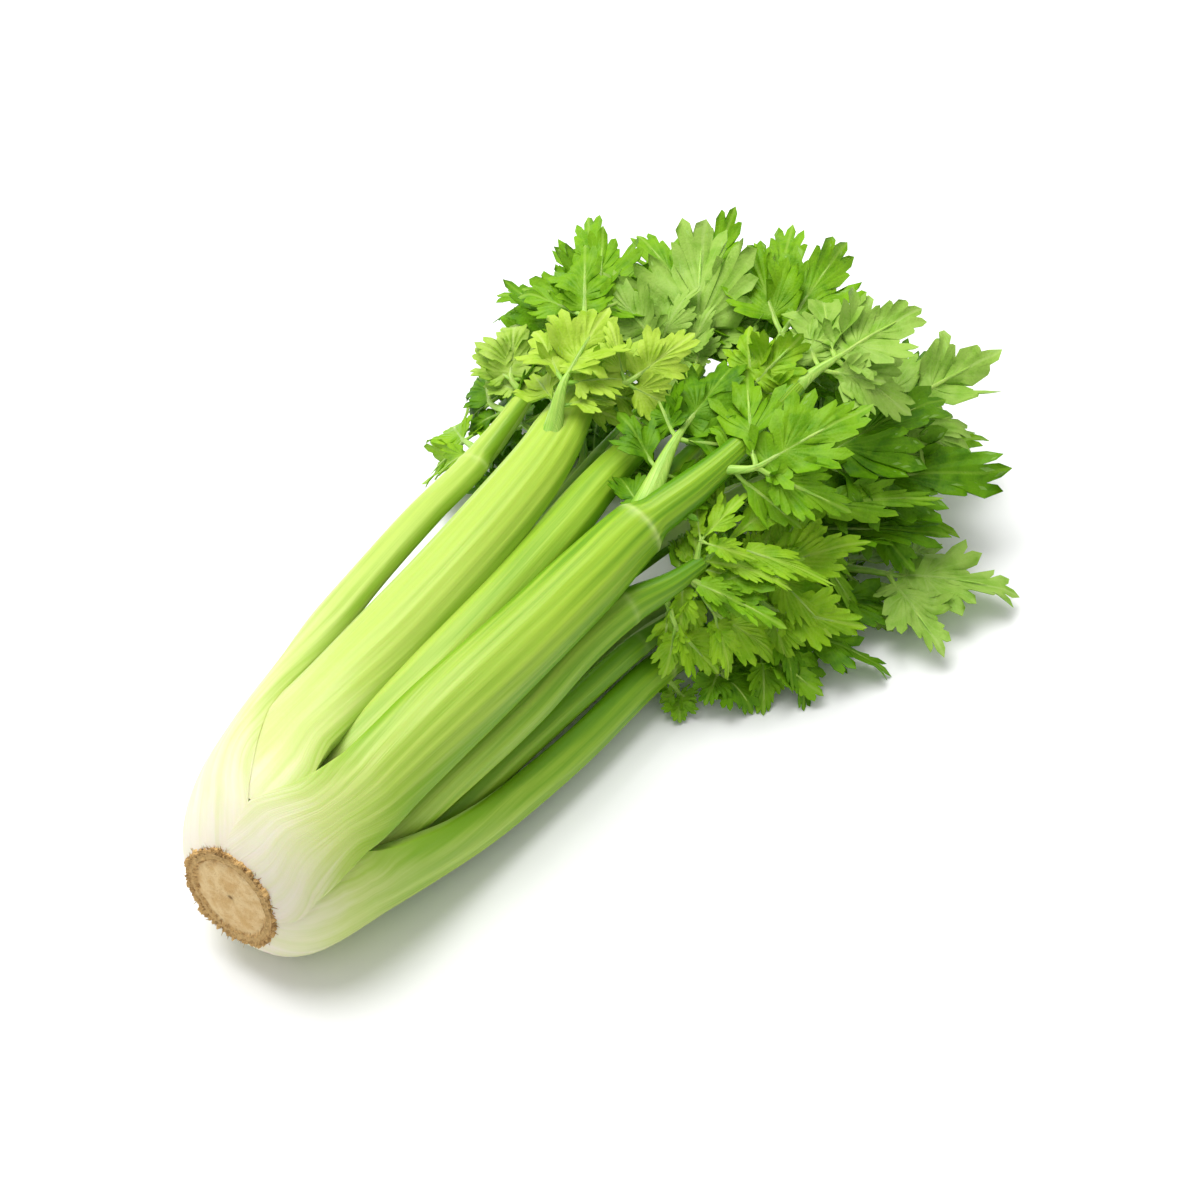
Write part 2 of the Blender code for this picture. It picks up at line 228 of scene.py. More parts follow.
# %% [markdown]
# ## The growing plan
#
# Every stalk starts in one of three whorls round the head's axis, follows its route to the joint, and ends
# in a crown that the leaves spring from. A plant could be grown by rule, but this head has its own
# arrangement, so each stalk and leaf is listed. The places are in millimetres. They are those of the packed
# model, apart from a few routes that run some millimetres aside, where the finished stalks fill the bunch
# better. Each leaf also gets its outline and its tone of green.

# %% Whorls and measures
BUTT_X, BUTT_HEIGHT, BUTT_SIDE = -205.0, 38.6, -1.2  # where the head's axis meets the cut
AXIS_DRIFT = AXIS_RISE = 0.03  # how far the axis runs to the left and up for each millimetre along
CENTRE_SHIFT = Vector((0.4, 3.9, 0.0))  # brings the middle of the footprint to the origin
CURL = 0.62  # radius of a stalk's hollow face, as a share of its width
KNEE_SWELL = 0.86  # width at the joint, as a share of the stalk's
CROWN_TAPER = (0.50, 0.34, 0.24)  # widths past the joint, as shares of the stalk's
CROWN_DEPTH = 0.85  # thickness past the joint, as a share of the width there
LEAST_CROWN = 5.0
SECTION_TURN = (35.0, 90.0)  # past the cut, where sections turn square to the stalk
LEAF_GAP = 2.2  # from the crown's skin to a leaf's root
BLADE_CUP = 0.18

# Keys are the distance past the cut, the radius from the axis and the thickness. Shingle raises one margin
# over the other, and flare gives the widths at the route's first points, as shares of the stalk's own.
Whorl = namedtuple("Whorl", "keys shingle flare")
OUTER = Whorl(((0.0, 19.2, 3.4), (8.0, 28.0, 4.8), (18.0, 33.6, 5.8), (32.0, 36.0, 6.4)), 1.0, (1.3, 1.08))
SECOND = Whorl(((16.0, 23.0, 3.6), (26.0, 26.0, 5.0), (38.0, 27.4, 5.6)), 1.0, (1.0, 1.0))
HEART = Whorl(((24.0, 14.5, 4.4), (38.0, 16.5, 5.6)), 0.5, (1.0, 1.0))


def axis_at(x):
    """The head's own axis, in millimetres."""
    past = x - BUTT_X
    return Vector((x, BUTT_SIDE + AXIS_DRIFT * past, BUTT_HEIGHT + AXIS_RISE * past))


print("the axis rises", round(axis_at(0).z - BUTT_HEIGHT, 1), "mm by the middle of the head")

# %% Stalks and leaves
# Along is how far up the crown a leaf springs, tip is where it ends, stem is its share that is bare, and
# branch is the radius that its stem starts with.
Leaf = namedtuple(
    "Leaf", "name along tip width face arch stem shape tone branch",
    defaults=((-0.3, -0.25, 0.9), 0.06, 0.3, "broad", "mid", 2.0),
)
# Clock is where a stalk sits round the butt, in degrees, 0 at the top and positive towards +Y
Stalk = namedtuple("Stalk", "name whorl clock half_angle width thick tone route crown leaves")
UP, TO_BUTT = (0.0, 0.0, 1.0), (-0.75, -0.25, 0.6)
TO_RIGHT, TO_LEFT = (-0.2, -0.8, 0.6), (-0.2, 0.75, 0.65)

STALKS = (
    Stalk(
        "stalk_left", OUTER, 55, 38, 22, 11, 0.1,
        route=((-152, 41.5, 54), (-120, 47.5, 55), (-75, 56, 54), (-28, 63, 53), (10, 68, 49)),
        crown=((35, 70, 53), (62, 75, 57)),
        leaves=(
            Leaf("leaf_left_end", 1.0, (100, 112, 50), 36, branch=3.0),
            Leaf("leaf_left_pale", 0.75, (74, 98, 66), 34, stem=0.2, tone="pale"),
            Leaf("leaf_left_back", 0.5, (74, 112, 36), 30, face=TO_LEFT, tone="deep"),
            Leaf("leaf_left_low", 0.2, (50, 114, 14), 26, face=TO_LEFT, tone="bright"),
        ),
    ),
    Stalk(
        "stalk_top_left", SECOND, 25, 36, 30, 11, 0.0,
        route=((-150, 16, 64), (-118, 18, 72), (-62, 21, 77), (-18, 25, 80), (15, 30, 82)),
        crown=((45, 38, 83), (76, 55, 78)),
        leaves=(
            Leaf("leaf_yellow_left", 0.1, (72, 45, 105), 38, TO_BUTT, stem=0.3, tone="yellow", branch=4.6),
            Leaf("leaf_yellow_right", 0.3, (86, 12, 101), 28, TO_BUTT, stem=0.4, tone="yellow", branch=3.0),
            Leaf("leaf_top_side", 0.8, (104, 84, 96), 32, stem=0.3),
            Leaf("leaf_top_end", 1.0, (126, 92, 82), 40, face=UP, branch=3.4),
        ),
    ),
    Stalk(
        "stalk_top_middle", HEART, 0, 34, 20, 9, 0.55,
        route=((-140, -4, 67), (-98, -3, 70), (-49, 0, 71.5), (-10, 4, 72), (25, 8, 72)),
        crown=((60, 9, 72), (92, 14, 76)),
        leaves=(
            Leaf(
                "leaf_silver", 1.0, (146, 54, 102), 60, TO_BUTT,
                stem=0.15, shape="fan", tone="silver", branch=2.6,
            ),
            Leaf("leaf_silver_side", 0.9, (98, 68, 94), 30, TO_BUTT, stem=0.3, tone="silver"),
        ),
    ),
    Stalk(
        "stalk_front", OUTER, -33, 46, 29, 12, 0.15,
        route=((-150, -20, 66.5), (-118, -23.5, 70.5), (-66, -25, 73.5), (-25, -24.5, 75), (8, -23, 75)),
        crown=((35, -28, 79), (65, -32, 85), (96, -33, 91)),
        leaves=(
            Leaf("leaf_front_end", 1.0, (158, -50, 100), 44, tone="silver", branch=3.2),
            Leaf("leaf_front_right", 0.4, (104, -64, 92), 40, stem=0.25, branch=3.0),
            Leaf("leaf_front_left", 0.05, (94, -4, 87), 34, stem=0.5, tone="deep", branch=6.2),
        ),
    ),
    Stalk(
        "stalk_right_inner", SECOND, -74, 27, 20, 10, 0.4,
        route=((-150, -28, 40), (-118, -32, 46), (-75, -34, 50), (-40, -32, 52), (-14, -34, 54)),
        crown=((4, -40, 56), (20, -44, 58)),
        leaves=(
            Leaf(
                "leaf_right_narrow", 1.0, (80, -57, 71), 17,
                stem=0.2, shape="narrow", tone="bright", branch=2.6,
            ),
            Leaf("leaf_right_slim", 0.8, (50, -44, 74), 14, stem=0.3, shape="narrow", tone="bright"),
            Leaf("leaf_right_broad", 0.6, (53, -70, 49), 22, stem=0.2),
            Leaf("leaf_right_hang", 0.3, (7, -62, 16), 24, face=TO_RIGHT, tone="bright"),
            Leaf("leaf_right_fold", 0.6, (30, -79, 15), 24, face=TO_RIGHT, tone="bright"),
        ),
    ),
    Stalk(
        "stalk_right_lower", SECOND, -126, 19, 14, 10, 0.7,
        route=((-150, -25, 23), (-118, -31, 24), (-80, -32, 25), (-43, -33, 26), (-8, -35, 28)),
        crown=((18, -42, 33), (38, -52, 40)),
        leaves=(
            Leaf("leaf_bright_upper", 1.0, (82, -83, 45), 28, stem=0.2, shape="fan", tone="bright"),
            Leaf("leaf_bright_lower", 0.8, (60, -97, 22), 27, face=TO_RIGHT, stem=0.35, tone="bright"),
        ),
    ),
    Stalk(
        "stalk_right", OUTER, -114, 34, 19, 12, 0.2,
        route=((-158, -37, 22.5), (-132, -40, 20), (-100, -42.5, 17.5), (-60, -43.5, 15.5), (-2, -43, 15)),
        crown=((18, -50, 16), (36, -58, 16)),
        leaves=(
            Leaf("leaf_floor_small", 0.0, (-13, -60, 2), 16, face=UP, arch=0.0),
            Leaf("leaf_floor_near", 0.4, (10, -80, 2), 24, face=UP, arch=0.1, tone="deep"),
            Leaf("leaf_floor_mid", 0.8, (32, -97, 2), 24, face=UP, arch=0.1),
            Leaf("leaf_floor_far", 1.0, (62, -112, 4), 30, face=UP, tone="deep"),
        ),
    ),
    Stalk(
        "stalk_heart_right", HEART, -75, 34, 16, 9, 0.5,
        route=((-140, -11, 44), (-98, -11, 46), (-49, -11, 52), (-5, -12, 60), (32, -13, 70)),
        crown=((66, -12, 74), (100, -8, 80)),
        leaves=(
            Leaf("leaf_heart_drop", 0.75, (111, -24, 104), 30, face=TO_BUTT, tone="bright"),
            Leaf("leaf_heart_tall", 1.0, (178, 30, 86), 34, stem=0.3, branch=2.6),
            Leaf("leaf_heart_broad", 0.9, (172, -2, 98), 44, stem=0.35, shape="fan"),
        ),
    ),
    Stalk(
        "stalk_back_left", SECOND, 96, 32, 20, 10, 0.4,
        route=((-150, 29, 35), (-100, 40, 40), (-50, 44, 44), (0, 47, 47)),
        crown=((40, 52, 51), (80, 60, 56)),
        leaves=(
            Leaf("leaf_back_end", 1.0, (150, 120, 58), 34, stem=0.35, branch=2.6),
            Leaf("leaf_back_dark", 0.85, (128, 98, 74), 34, tone="deep"),
            Leaf("leaf_back_low", 0.4, (98, 106, 22), 38, face=TO_LEFT, tone="deep"),
        ),
    ),
    Stalk(
        "stalk_bottom_left", OUTER, 126, 29, 22, 11, 0.3,
        route=((-155, 27, 14), (-110, 34, 12), (-60, 38, 11), (-15, 40, 11), (10, 42, 11)),
        crown=((35, 47, 12), (62, 54, 12)),
        leaves=(
            Leaf("leaf_under_end", 1.0, (126, 100, 4), 40, face=UP, tone="deep", branch=2.6),
            Leaf("leaf_under_left", 0.4, (72, 98, 2), 34, face=UP, tone="deep"),
            Leaf("leaf_under_mid", 0.9, (138, 40, 10), 32, face=UP, tone="deep"),
        ),
    ),
    Stalk(
        "stalk_bottom_right", OUTER, 183, 27, 24, 11, 0.3,
        route=((-155, -6, 7), (-110, -12, 7), (-60, -15, 7), (-15, -15, 7), (15, -17, 8)),
        crown=((45, -28, 9), (75, -50, 11)),
        leaves=(
            Leaf("leaf_floor_pale", 1.0, (126, -130, 3), 40, face=UP, stem=0.45, tone="silver", branch=2.6),
            Leaf("leaf_floor_dark", 0.6, (95, -110, 2), 26, face=UP, stem=0.4, tone="deep"),
        ),
    ),
    Stalk(
        "stalk_bottom_middle", SECOND, 170, 34, 18, 9, 0.6,
        route=((-140, 8, 20), (-100, 9, 21), (-50, 10, 22), (5, 8, 24)),
        crown=((45, 0, 27), (85, -14, 28)),
        leaves=(
            Leaf("leaf_far_broad", 1.0, (156, -102, 34), 50, stem=0.4, shape="fan", tone="deep", branch=2.6),
            Leaf("leaf_far_side", 0.95, (186, -74, 16), 32, face=UP, stem=0.45),
            Leaf("leaf_floor_broad", 0.5, (120, -98, 20), 36, face=UP, stem=0.4, tone="deep"),
            Leaf("leaf_far_floor", 0.7, (168, 10, 12), 42, face=UP, tone="deep"),
        ),
    ),
    Stalk(
        "stalk_heart_left", HEART, 95, 30, 15, 9, 0.5,
        route=((-140, 16, 42), (-98, 17, 46), (-49, 19, 49), (0, 21, 52), (40, 24, 56)),
        crown=((75, 28, 58), (105, 34, 62)),
        leaves=(
            Leaf("leaf_heart_curl", 1.0, (174, 58, 80), 36, branch=2.6),
            Leaf("leaf_heart_side", 0.8, (140, 84, 44), 34, tone="deep"),
        ),
    ),
    Stalk(
        "stalk_heart_low", HEART, 195, 30, 15, 8, 0.6,
        route=((-140, -1, 30), (-98, -3, 32), (-49, -8, 36), (0, -12, 41), (40, -20, 46)),
        crown=((70, -30, 51), (100, -40, 53)),
        leaves=(
            Leaf("leaf_deep_green", 0.5, (152, -70, 66), 52, stem=0.35, shape="fan", tone="deep", branch=2.8),
            Leaf("leaf_far_dark", 0.85, (204, -34, 28), 28, stem=0.5, tone="deep"),
            Leaf("leaf_far_slim", 1.0, (196, -66, 52), 40, stem=0.5, shape="narrow", tone="silver"),
            Leaf("leaf_low_slim", 0.3, (122, -90, 40), 20, stem=0.3),
        ),
    ),
)
FRONT = next(stalk for stalk in STALKS if stalk.name == "stalk_front")
print(len(STALKS), "stalks with", sum(len(stalk.leaves) for stalk in STALKS), "leaves")

# %% [markdown]
# ## How a stalk runs
#
# A stalk bends without a kink, so its sections sit on a smooth curve through the points of its route. A
# curve object could do that, but the same curve also has to carry width, thickness and how hollow the stalk
# is, so the rows are worked out here. A section every two millimetres is close enough for the ring at the
# joint, and it keeps the ribs straight between bends. At the bulb every stalk faces straight away from the
# axis, and further up some of them roll to face another way.

# %% Facings, flares and rings
# The clock that a stalk's outer face has turned to once it is clear of the bulb
FACING = {
    "stalk_left": 40, "stalk_right": -84, "stalk_top_left": 2,
    "stalk_right_lower": -95, "stalk_right_inner": -58,
}
FACING_TURN = (35.0, 120.0)
# Widths at the first points of the route, as shares of the stalk's own width
FLARES = {
    "stalk_left": (1.5, 1.25, 1.05), "stalk_front": (1.45, 1.28, 1.14, 1.06),
    "stalk_top_left": (1.3, 1.2, 1.12, 1.05), "stalk_top_middle": (1.2, 1.2, 1.15, 1.1),
    "stalk_right": (1.6, 1.3, 1.1, 1.0),
}
# How strongly a joint's pale ring shows, and with it the narrow neck past the joint
RINGS = {
    "stalk_front": 0.9, "stalk_left": 0.5, "stalk_right": 0.6, "stalk_top_left": 0.0, "stalk_top_middle": 0.0,
    "stalk_right_inner": 0.35,
}
PLAIN_RING = 0.25
NECK, NECK_SETS_IN = 0.42, 0.25  # how much narrower it is past a full ring, and how soon it is so
print(len(FACING), "stalks turn and", len(FLARES), "have flares of their own")

# %% Smooth rows
# Run is the distance past the joint, and key counts the route's points from there
Row = namedtuple("Row", "place along outward width thick hollow shingle run key")
FINE_SPACING = 2.0


def fade(value, low, high):
    """0 below low, 1 above high and a smooth step between."""
    t = min(max((value - low) / (high - low), 0.0), 1.0)
    return t * t * (3 - 2 * t)


def off_axis(clock):
    """One step away from the head's axis, towards a clock in degrees."""
    turn = math.radians(clock)
    return Vector((0, math.sin(turn), math.cos(turn)))


def smooth(keys, spacing):
    """Rows of numbers on a smooth curve through keys, and how far through the keys each one is."""
    places = [Vector(key[:3]) for key in keys]
    spans = [(b - a).length for a, b in zip(places, places[1:])]
    slopes = []
    for i in range(len(keys)):
        low, high = max(i - 1, 0), min(i + 1, len(keys) - 1)
        run = sum(spans[low:high])
        slopes.append([(b - a) / run for a, b in zip(keys[low], keys[high])])
    rows = [(list(keys[0]), 0.0)]
    for i, span in enumerate(spans):
        steps = max(1, round(span / spacing))
        for step in range(1, steps + 1):
            t = step / steps
            from_start, from_end = (1 + 2 * t) * (1 - t) ** 2, t * t * (3 - 2 * t)
            leaving, arriving = span * t * (1 - t) ** 2, -span * t * t * (1 - t)
            rows.append(([
                from_start * a + from_end * b + leaving * da + arriving * db
                for a, b, da, db in zip(keys[i], keys[i + 1], slopes[i], slopes[i + 1])
            ], i + t))
    return rows


def stalk_keys(stalk):
    """Place, width, thickness, hollow radius and shingle at the points that set a stalk's shape."""
    clock = math.radians(stalk.clock)
    keys = []
    for past, radius, thick in stalk.whorl.keys:
        centre = axis_at(BUTT_X + past)
        width = 2 * math.radians(stalk.half_angle) * radius
        y = centre.y + radius * math.sin(clock)
        z = centre.z + radius * math.cos(clock)
        keys.append((centre.x, y, z, width, thick, radius, stalk.whorl.shingle))
    flares = FLARES.get(stalk.name, stalk.whorl.flare) + (1.0,) * len(stalk.route)
    for place, flare in zip(stalk.route[:-1], flares):
        keys.append((*place, flare * stalk.width, stalk.thick, CURL * flare * stalk.width, 0.0))
    knee = KNEE_SWELL * stalk.width
    keys.append((*stalk.route[-1], knee, stalk.thick, CURL * stalk.width, 0.0))
    for place, share in zip(stalk.crown, CROWN_TAPER):
        width = max(share * stalk.width, LEAST_CROWN)
        keys.append((*place, width, CROWN_DEPTH * width, stalk.width, 0.0))
    return keys


def section_facing(stalk, past, tangent):
    """What a section is square to, and the way that its outer face looks."""
    turned = min(max((past - SECTION_TURN[0]) / (SECTION_TURN[1] - SECTION_TURN[0]), 0.0), 1.0)
    square_to = Vector((1, 0, 0)).lerp(tangent, turned).normalized()
    turned = fade(past, *FACING_TURN)
    outward = off_axis((1 - turned) * stalk.clock + turned * FACING.get(stalk.name, stalk.clock))
    return square_to, (outward - outward.dot(square_to) * square_to).normalized()


def stalk_rows(stalk):
    """The stalk's sections, from the cut to the end of its crown. Run is measured from the joint."""
    keys = stalk_keys(stalk)
    knee_key = len(keys) - 1 - len(stalk.crown)
    neck_length = (Vector(keys[knee_key + 1][:3]) - Vector(keys[knee_key][:3])).length
    neck = NECK * RINGS.get(stalk.name, PLAIN_RING)
    numbers = smooth(keys, FINE_SPACING)
    places = [Vector(row[:3]) for row, _ in numbers]
    knee = next(i for i, (_, key) in enumerate(numbers) if key >= knee_key)
    runs = [0.0]
    for here, there in zip(places, places[1:]):
        runs.append(runs[-1] + (there - here).length)
    rows = []
    for i, (row, key) in enumerate(numbers):
        tangent = (places[min(i + 1, len(places) - 1)] - places[max(i - 1, 0)]).normalized()
        square_to, outward = section_facing(stalk, row[0] - BUTT_X, tangent)
        run = runs[i] - runs[knee]
        width, thick, hollow, shingle = row[3:]
        if run > 0:
            share = min(run / neck_length, 1.0)
            width *= 1 - neck * min(share / NECK_SETS_IN, 1.0) * (1 - share)
        rows.append(Row(places[i], square_to, outward, width, thick, hollow, shingle, run, key - knee_key))
    return rows


ROWS = {stalk.name: stalk_rows(stalk) for stalk in STALKS}
print("sections on the front stalk:", len(ROWS[FRONT.name]))

# %% [markdown]
# ## The bulb
#
# At the bottom the outer stalks are broad sheaths that wrap the bunch. Their outer faces make one smooth
# bulb, with a seam wherever one laps over the next. A bulb could be one closed surface with seams cut into
# it, but then no stalk would be a piece of its own. So the bulb is only a formula for a radius, and each
# sheath is the strip of it between two edges. An edge that goes under its neighbour dips by its lap.
# Further along, the sheath eases into the stalk's own section.

# %% The bulb
Girth = namedtuple("Girth", "full slope settle")
RIM = 20.9
# The radius that each side of the bulb heads for, its slope past that, and how soon it settles there
GIRTH_PLUS = Girth(41.3, 0.125, 14.0)
GIRTH_MINUS = Girth(36.6, 0.2, 6.0)
GIRTH_TOP = Girth(42.2, -0.035, 11.5)
WIDEST_SIDE = 60.5  # the clock towards +Y at which the bulb is widest
BULGE, LATE_BULGE, BULGE_TURN = 1.5, 1.3, (30.0, 80.0)  # how narrow the swelling of the sides is
Sheath = namedtuple("Sheath", "tuck lap_plus lap_minus edges")
# Tuck is how far a sheath lies under the bulb's outside, and the laps are how far its edges dip. Each row of
# edges is a distance past the cut, then the clock of the edge towards +Y and of the one towards -Y.
SHEATHS = {
    "stalk_front": Sheath(0.0, 0.0, 0.0, (
        (0, 13, -88), (3, 10, -85), (6, 8, -79), (9, 7, -72), (14, 6, -69), (21, -2, -66), (29, -9, -64),
        (35, -12, -63), (42, -15, -64), (55, -19, -65), (75, -21, -65), (118, -22, -64),
    )),
    "stalk_left": Sheath(0.0, 0.0, 1.2, (
        (0, 99, 9), (6, 99, 5), (14, 98, 6), (20, 97, 12), (33, 96, 21), (42, 95, 28),
        (55, 93, 38), (75, 91, 48), (118, 88, 57),
    )),
    "stalk_right": Sheath(0.0, 1.5, 0.0, (
        (0, -83, -150), (5, -72, -150), (10, -64, -150), (20, -58, -150), (32, -60, -149), (42, -69, -148),
        (50, -74, -146), (75, -86, -140), (118, -98, -134),
    )),
    "stalk_bottom_left": Sheath(0.4, 0.0, 0.0, (
        (0, 156, 97), (32, 155, 95), (55, 150, 100), (75, 148, 104),
    )),
    "stalk_bottom_right": Sheath(0.4, 0.0, 0.0, (
        (0, 212, 155), (32, 211, 154), (55, 206, 160), (75, 204, 162),
    )),
    "stalk_top_left": Sheath(1.9, 0.0, 0.0, (
        (0, 60, -2), (14, 62, -6), (29, 62, -13), (41, 60, -13), (55, 54, -6), (75, 49, -1), (118, 44, 3),
    )),
}
SHEATH_END = (28.0, 116.0)  # past the cut, where a sheath eases into the stalk's own section
LAP_START = 0.3  # where a lap sets in, as a share of the way from the sheath's middle to its edge


def along_table(table, past):
    """A table's row at a distance past the cut, on straight lines between its rows."""
    past = min(max(past, table[0][0]), table[-1][0])
    for here, there in zip(table, table[1:]):
        if past <= there[0]:
            t = (past - here[0]) / (there[0] - here[0])
            return [(1 - t) * a + t * b for a, b in zip(here, there)][1:]
    return table[-1][1:]


def girth_radius(girth, past):
    """A side's radius: it settles exponentially from the rim to a straight slope."""
    return girth.full + girth.slope * past - (girth.full - RIM) * math.exp(-past / girth.settle)


def bulb_radius(past, clock):
    """The bulb's outside at a clock: its sides swell more than its top, and the swelling narrows along it."""
    turn = math.cos(math.radians(clock - WIDEST_SIDE))
    top = girth_radius(GIRTH_TOP, past)
    side = girth_radius(GIRTH_PLUS if turn > 0 else GIRTH_MINUS, past)
    return top + (side - top) * abs(turn) ** (BULGE + LATE_BULGE * fade(past, *BULGE_TURN))


def sheath_place(sheath, past, share, depth, thick):
    """A point of the sheath: its outer face lies on the bulb right up to its edges."""
    plus, minus = along_table(sheath.edges, past)
    clock = plus + (minus - plus) * (share + 1) / 2
    lap = sheath.lap_plus * fade(-share, LAP_START, 1.0) + sheath.lap_minus * fade(share, LAP_START, 1.0)
    radius = bulb_radius(past, clock) - sheath.tuck - lap - thick / 2 + depth
    return axis_at(BUTT_X + past) + radius * off_axis(clock)


WIDE_PLACE = 32
wide = 2 * bulb_radius(WIDE_PLACE, WIDEST_SIDE)
print("the bulb is", round(wide, 1), "mm across its sides at", WIDE_PLACE, "mm past the cut")

# %% [markdown]
# ## The shape of a stalk
#
# The outer face carries a strand of tough fibre every few millimetres, and each one stands up as a rounded
# rib. The ribs could be bump in the skin, but they catch the light along the whole stalk and show on its
# outline, so here they are real shape. They are low on the white bulb and fainter past the joint, where a
# ragged ring of thicker skin crosses them. The margins are thin and rounded, and the inner face is a plain
# trough.
#
# Each point also carries numbers that only the maker of the mesh knows, such as how high on a rib it is.
# The skin uses them for its colours.

# %% Points, faces and numbers
CUT_SLANT = Vector((0.0, -0.06, 0.13))
SLANT_END = (3.0, 46.0)
CM = 0.1  # a millimetre in centimetres, in which the skins' patterns are measured


def slanted(place):
    """The knife went through at a slight slant, which fades out along the bulb."""
    lean = (place - axis_at(place.x)).dot(CUT_SLANT) * (1 - fade(place.x - BUTT_X, *SLANT_END))
    return place + Vector((lean, 0, 0))


class Shape:
    """Points, faces and the numbers that points carry, gathered before they become a mesh."""

    def __init__(self, *numbers):
        self.points, self.faces, self.slots = [], [], []
        self.numbers = {name: [] for name in numbers}
        self.flat = []

    def point(self, place, flat, **numbers):
        """Adds a point at a place in millimetres. Flat is where its pattern is, on the flattened skin."""
        self.points.append((slanted(place) + CENTRE_SHIFT) * MM)
        self.flat.append(flat)
        for name, values in self.numbers.items():
            values.append(numbers.get(name, 0.0))
        return len(self.points) - 1

    def sheet(self, grid, slot=0, closed=False, flip=False):
        """Faces between the lines of a grid of points."""
        for here, there in zip(grid, grid[1:]):
            for i in range(len(here) - (0 if closed else 1)):
                j = (i + 1) % len(here)
                corners = (here[i], here[j], there[j], there[i])
                self.faces.append(corners[::-1] if flip else corners)
                self.slots.append(slot)

    def cap(self, ring, slot=0, flip=False):
        """One face that closes the end of a tube."""
        self.faces.append(tuple(ring[::-1] if flip else ring))
        self.slots.append(slot)

    def make(self, name, materials, sharp=60):
        """The finished object, smooth but for edges sharper than an angle in degrees."""
        mesh = bpy.data.meshes.new(name)
        mesh.from_pydata(self.points, [], self.faces)
        mesh.polygons.foreach_set("material_index", self.slots)
        for label, values in self.numbers.items():
            mesh.attributes.new(label, "FLOAT", "POINT").data.foreach_set("value", values)
        flat = mesh.attributes.new("flat", "FLOAT_VECTOR", "POINT")
        flat.data.foreach_set("vector", [part for place in self.flat for part in place])
        for material in materials:
            mesh.materials.append(material)
        mesh.shade_smooth()
        mesh.set_sharp_from_angle(angle=math.radians(sharp))
        made = bpy.data.objects.new(name, mesh)
        scene.collection.objects.link(made)
        return made


rim_top = axis_at(BUTT_X) + RIM * off_axis(0)
print("the slant moves the rim's top", round(slanted(rim_top).x - rim_top.x, 1), "mm along the head")

# %% Ribs
RIB_SPACING, RIB_HEIGHT = 3.8, 0.32
FEWEST_RIBS = 4
FAINTEST_RIB = 0.55
RIB_ROUND = 1.4
RIB_DRIFT, DRIFT_ALONG, DRIFT_ACROSS = 0.25, 0.01, 1.5


class Ribs:
    """The strands under one stalk's skin, each of its own strength."""

    def __init__(self, stalk):
        dice = random.Random(stalk.name)
        self.count = max(FEWEST_RIBS, round(stalk.width / RIB_SPACING))
        self.strength = [dice.uniform(FAINTEST_RIB, 1.0) for _ in range(self.count + 1)]
        self.seed = 100 * dice.random()

    def crest(self, share, run):
        """How high on a rib a point is: 0 in a groove, and the rib's own strength on its top."""
        drift = RIB_DRIFT * noise.noise(Vector((DRIFT_ALONG * run, DRIFT_ACROSS * share, self.seed)))
        strand = (0.5 + 0.5 * share) * self.count + drift
        crest = (0.5 + 0.5 * math.cos(2 * math.pi * strand)) ** RIB_ROUND
        return crest * self.strength[min(max(round(strand), 0), self.count)]


front_ribs = Ribs(FRONT)
print("ribs on the front stalk:", front_ribs.count)

# %% Sections
OUTER_POINTS, INNER_POINTS = 72, 22
CROWDING = 0.4
EDGE, EDGE_ROUND = 0.2, 14  # a margin's thickness, as a share of the middle's, and how late it rounds off
EDGE_FLUSH = 0.9  # how far a sheath's margin is raised to the bulb's outside


def thickness_at(share, crowned):
    """Thickness between middle and margin, as a share of the middle's: a lens, or a round crown."""
    lens = (EDGE + (1 - EDGE) * (1 - share * share)) * math.sqrt(1 - abs(share) ** EDGE_ROUND)
    return (1 - crowned) * lens + crowned * math.sqrt(max(1 - share * share, 0.0))


def spread(count):
    """Shares from one margin to the other, closer together towards the margins."""
    steps = [2 * i / (count - 1) - 1 for i in range(count)]
    return [(1 - CROWDING) * step + CROWDING * math.sin(math.pi / 2 * step) for step in steps]


def section_place(row, share, lift):
    """A point of a stalk's own section. Lift is its height over the middle of the flesh."""
    angle = share * 0.5 * row.width / row.hollow
    across = (row.hollow + lift) * math.sin(angle)
    out = row.hollow * (math.cos(angle) - 1) + row.shingle * share + lift * math.cos(angle)
    return row.place + across * row.along.cross(row.outward) + out * row.outward


print("thickness of a margin, as a share of the middle's:", round(thickness_at(0.9, 0.0), 2))

# %% Stalk mesh
CROWNING = (-2.0, 8.0)  # past the joint, where a trough turns to a round branch
BULB_RIBS, RIBS_RISE = 0.12, (12.0, 110.0)
CROWN_RIBS_LOST = 0.55
RIB_EDGE, RING_EDGE = 8, 4  # how late ribs and ring fade towards the margins
RING_HEIGHT, RING_HALF, RING_RAGGED = 0.55, 1.3, 7
SWELL, SWELL_ALONG, SWELL_ACROSS = 0.3, 0.02, 2.0
FLOOR_GAP = 0.2
LIT_REACH = 45.0  # from the axis to the side towards the lamp, for the painted light and shade on the stalks
PAINTED_LIGHT_STRETCH, PAINTED_LIGHT_SHIFT = 0.3, 9.0  # painted light and shade: how much further along the pale colours reach on the lamp's side, and how much sooner the green comes on the other side
CREST_GAIN = 1.2


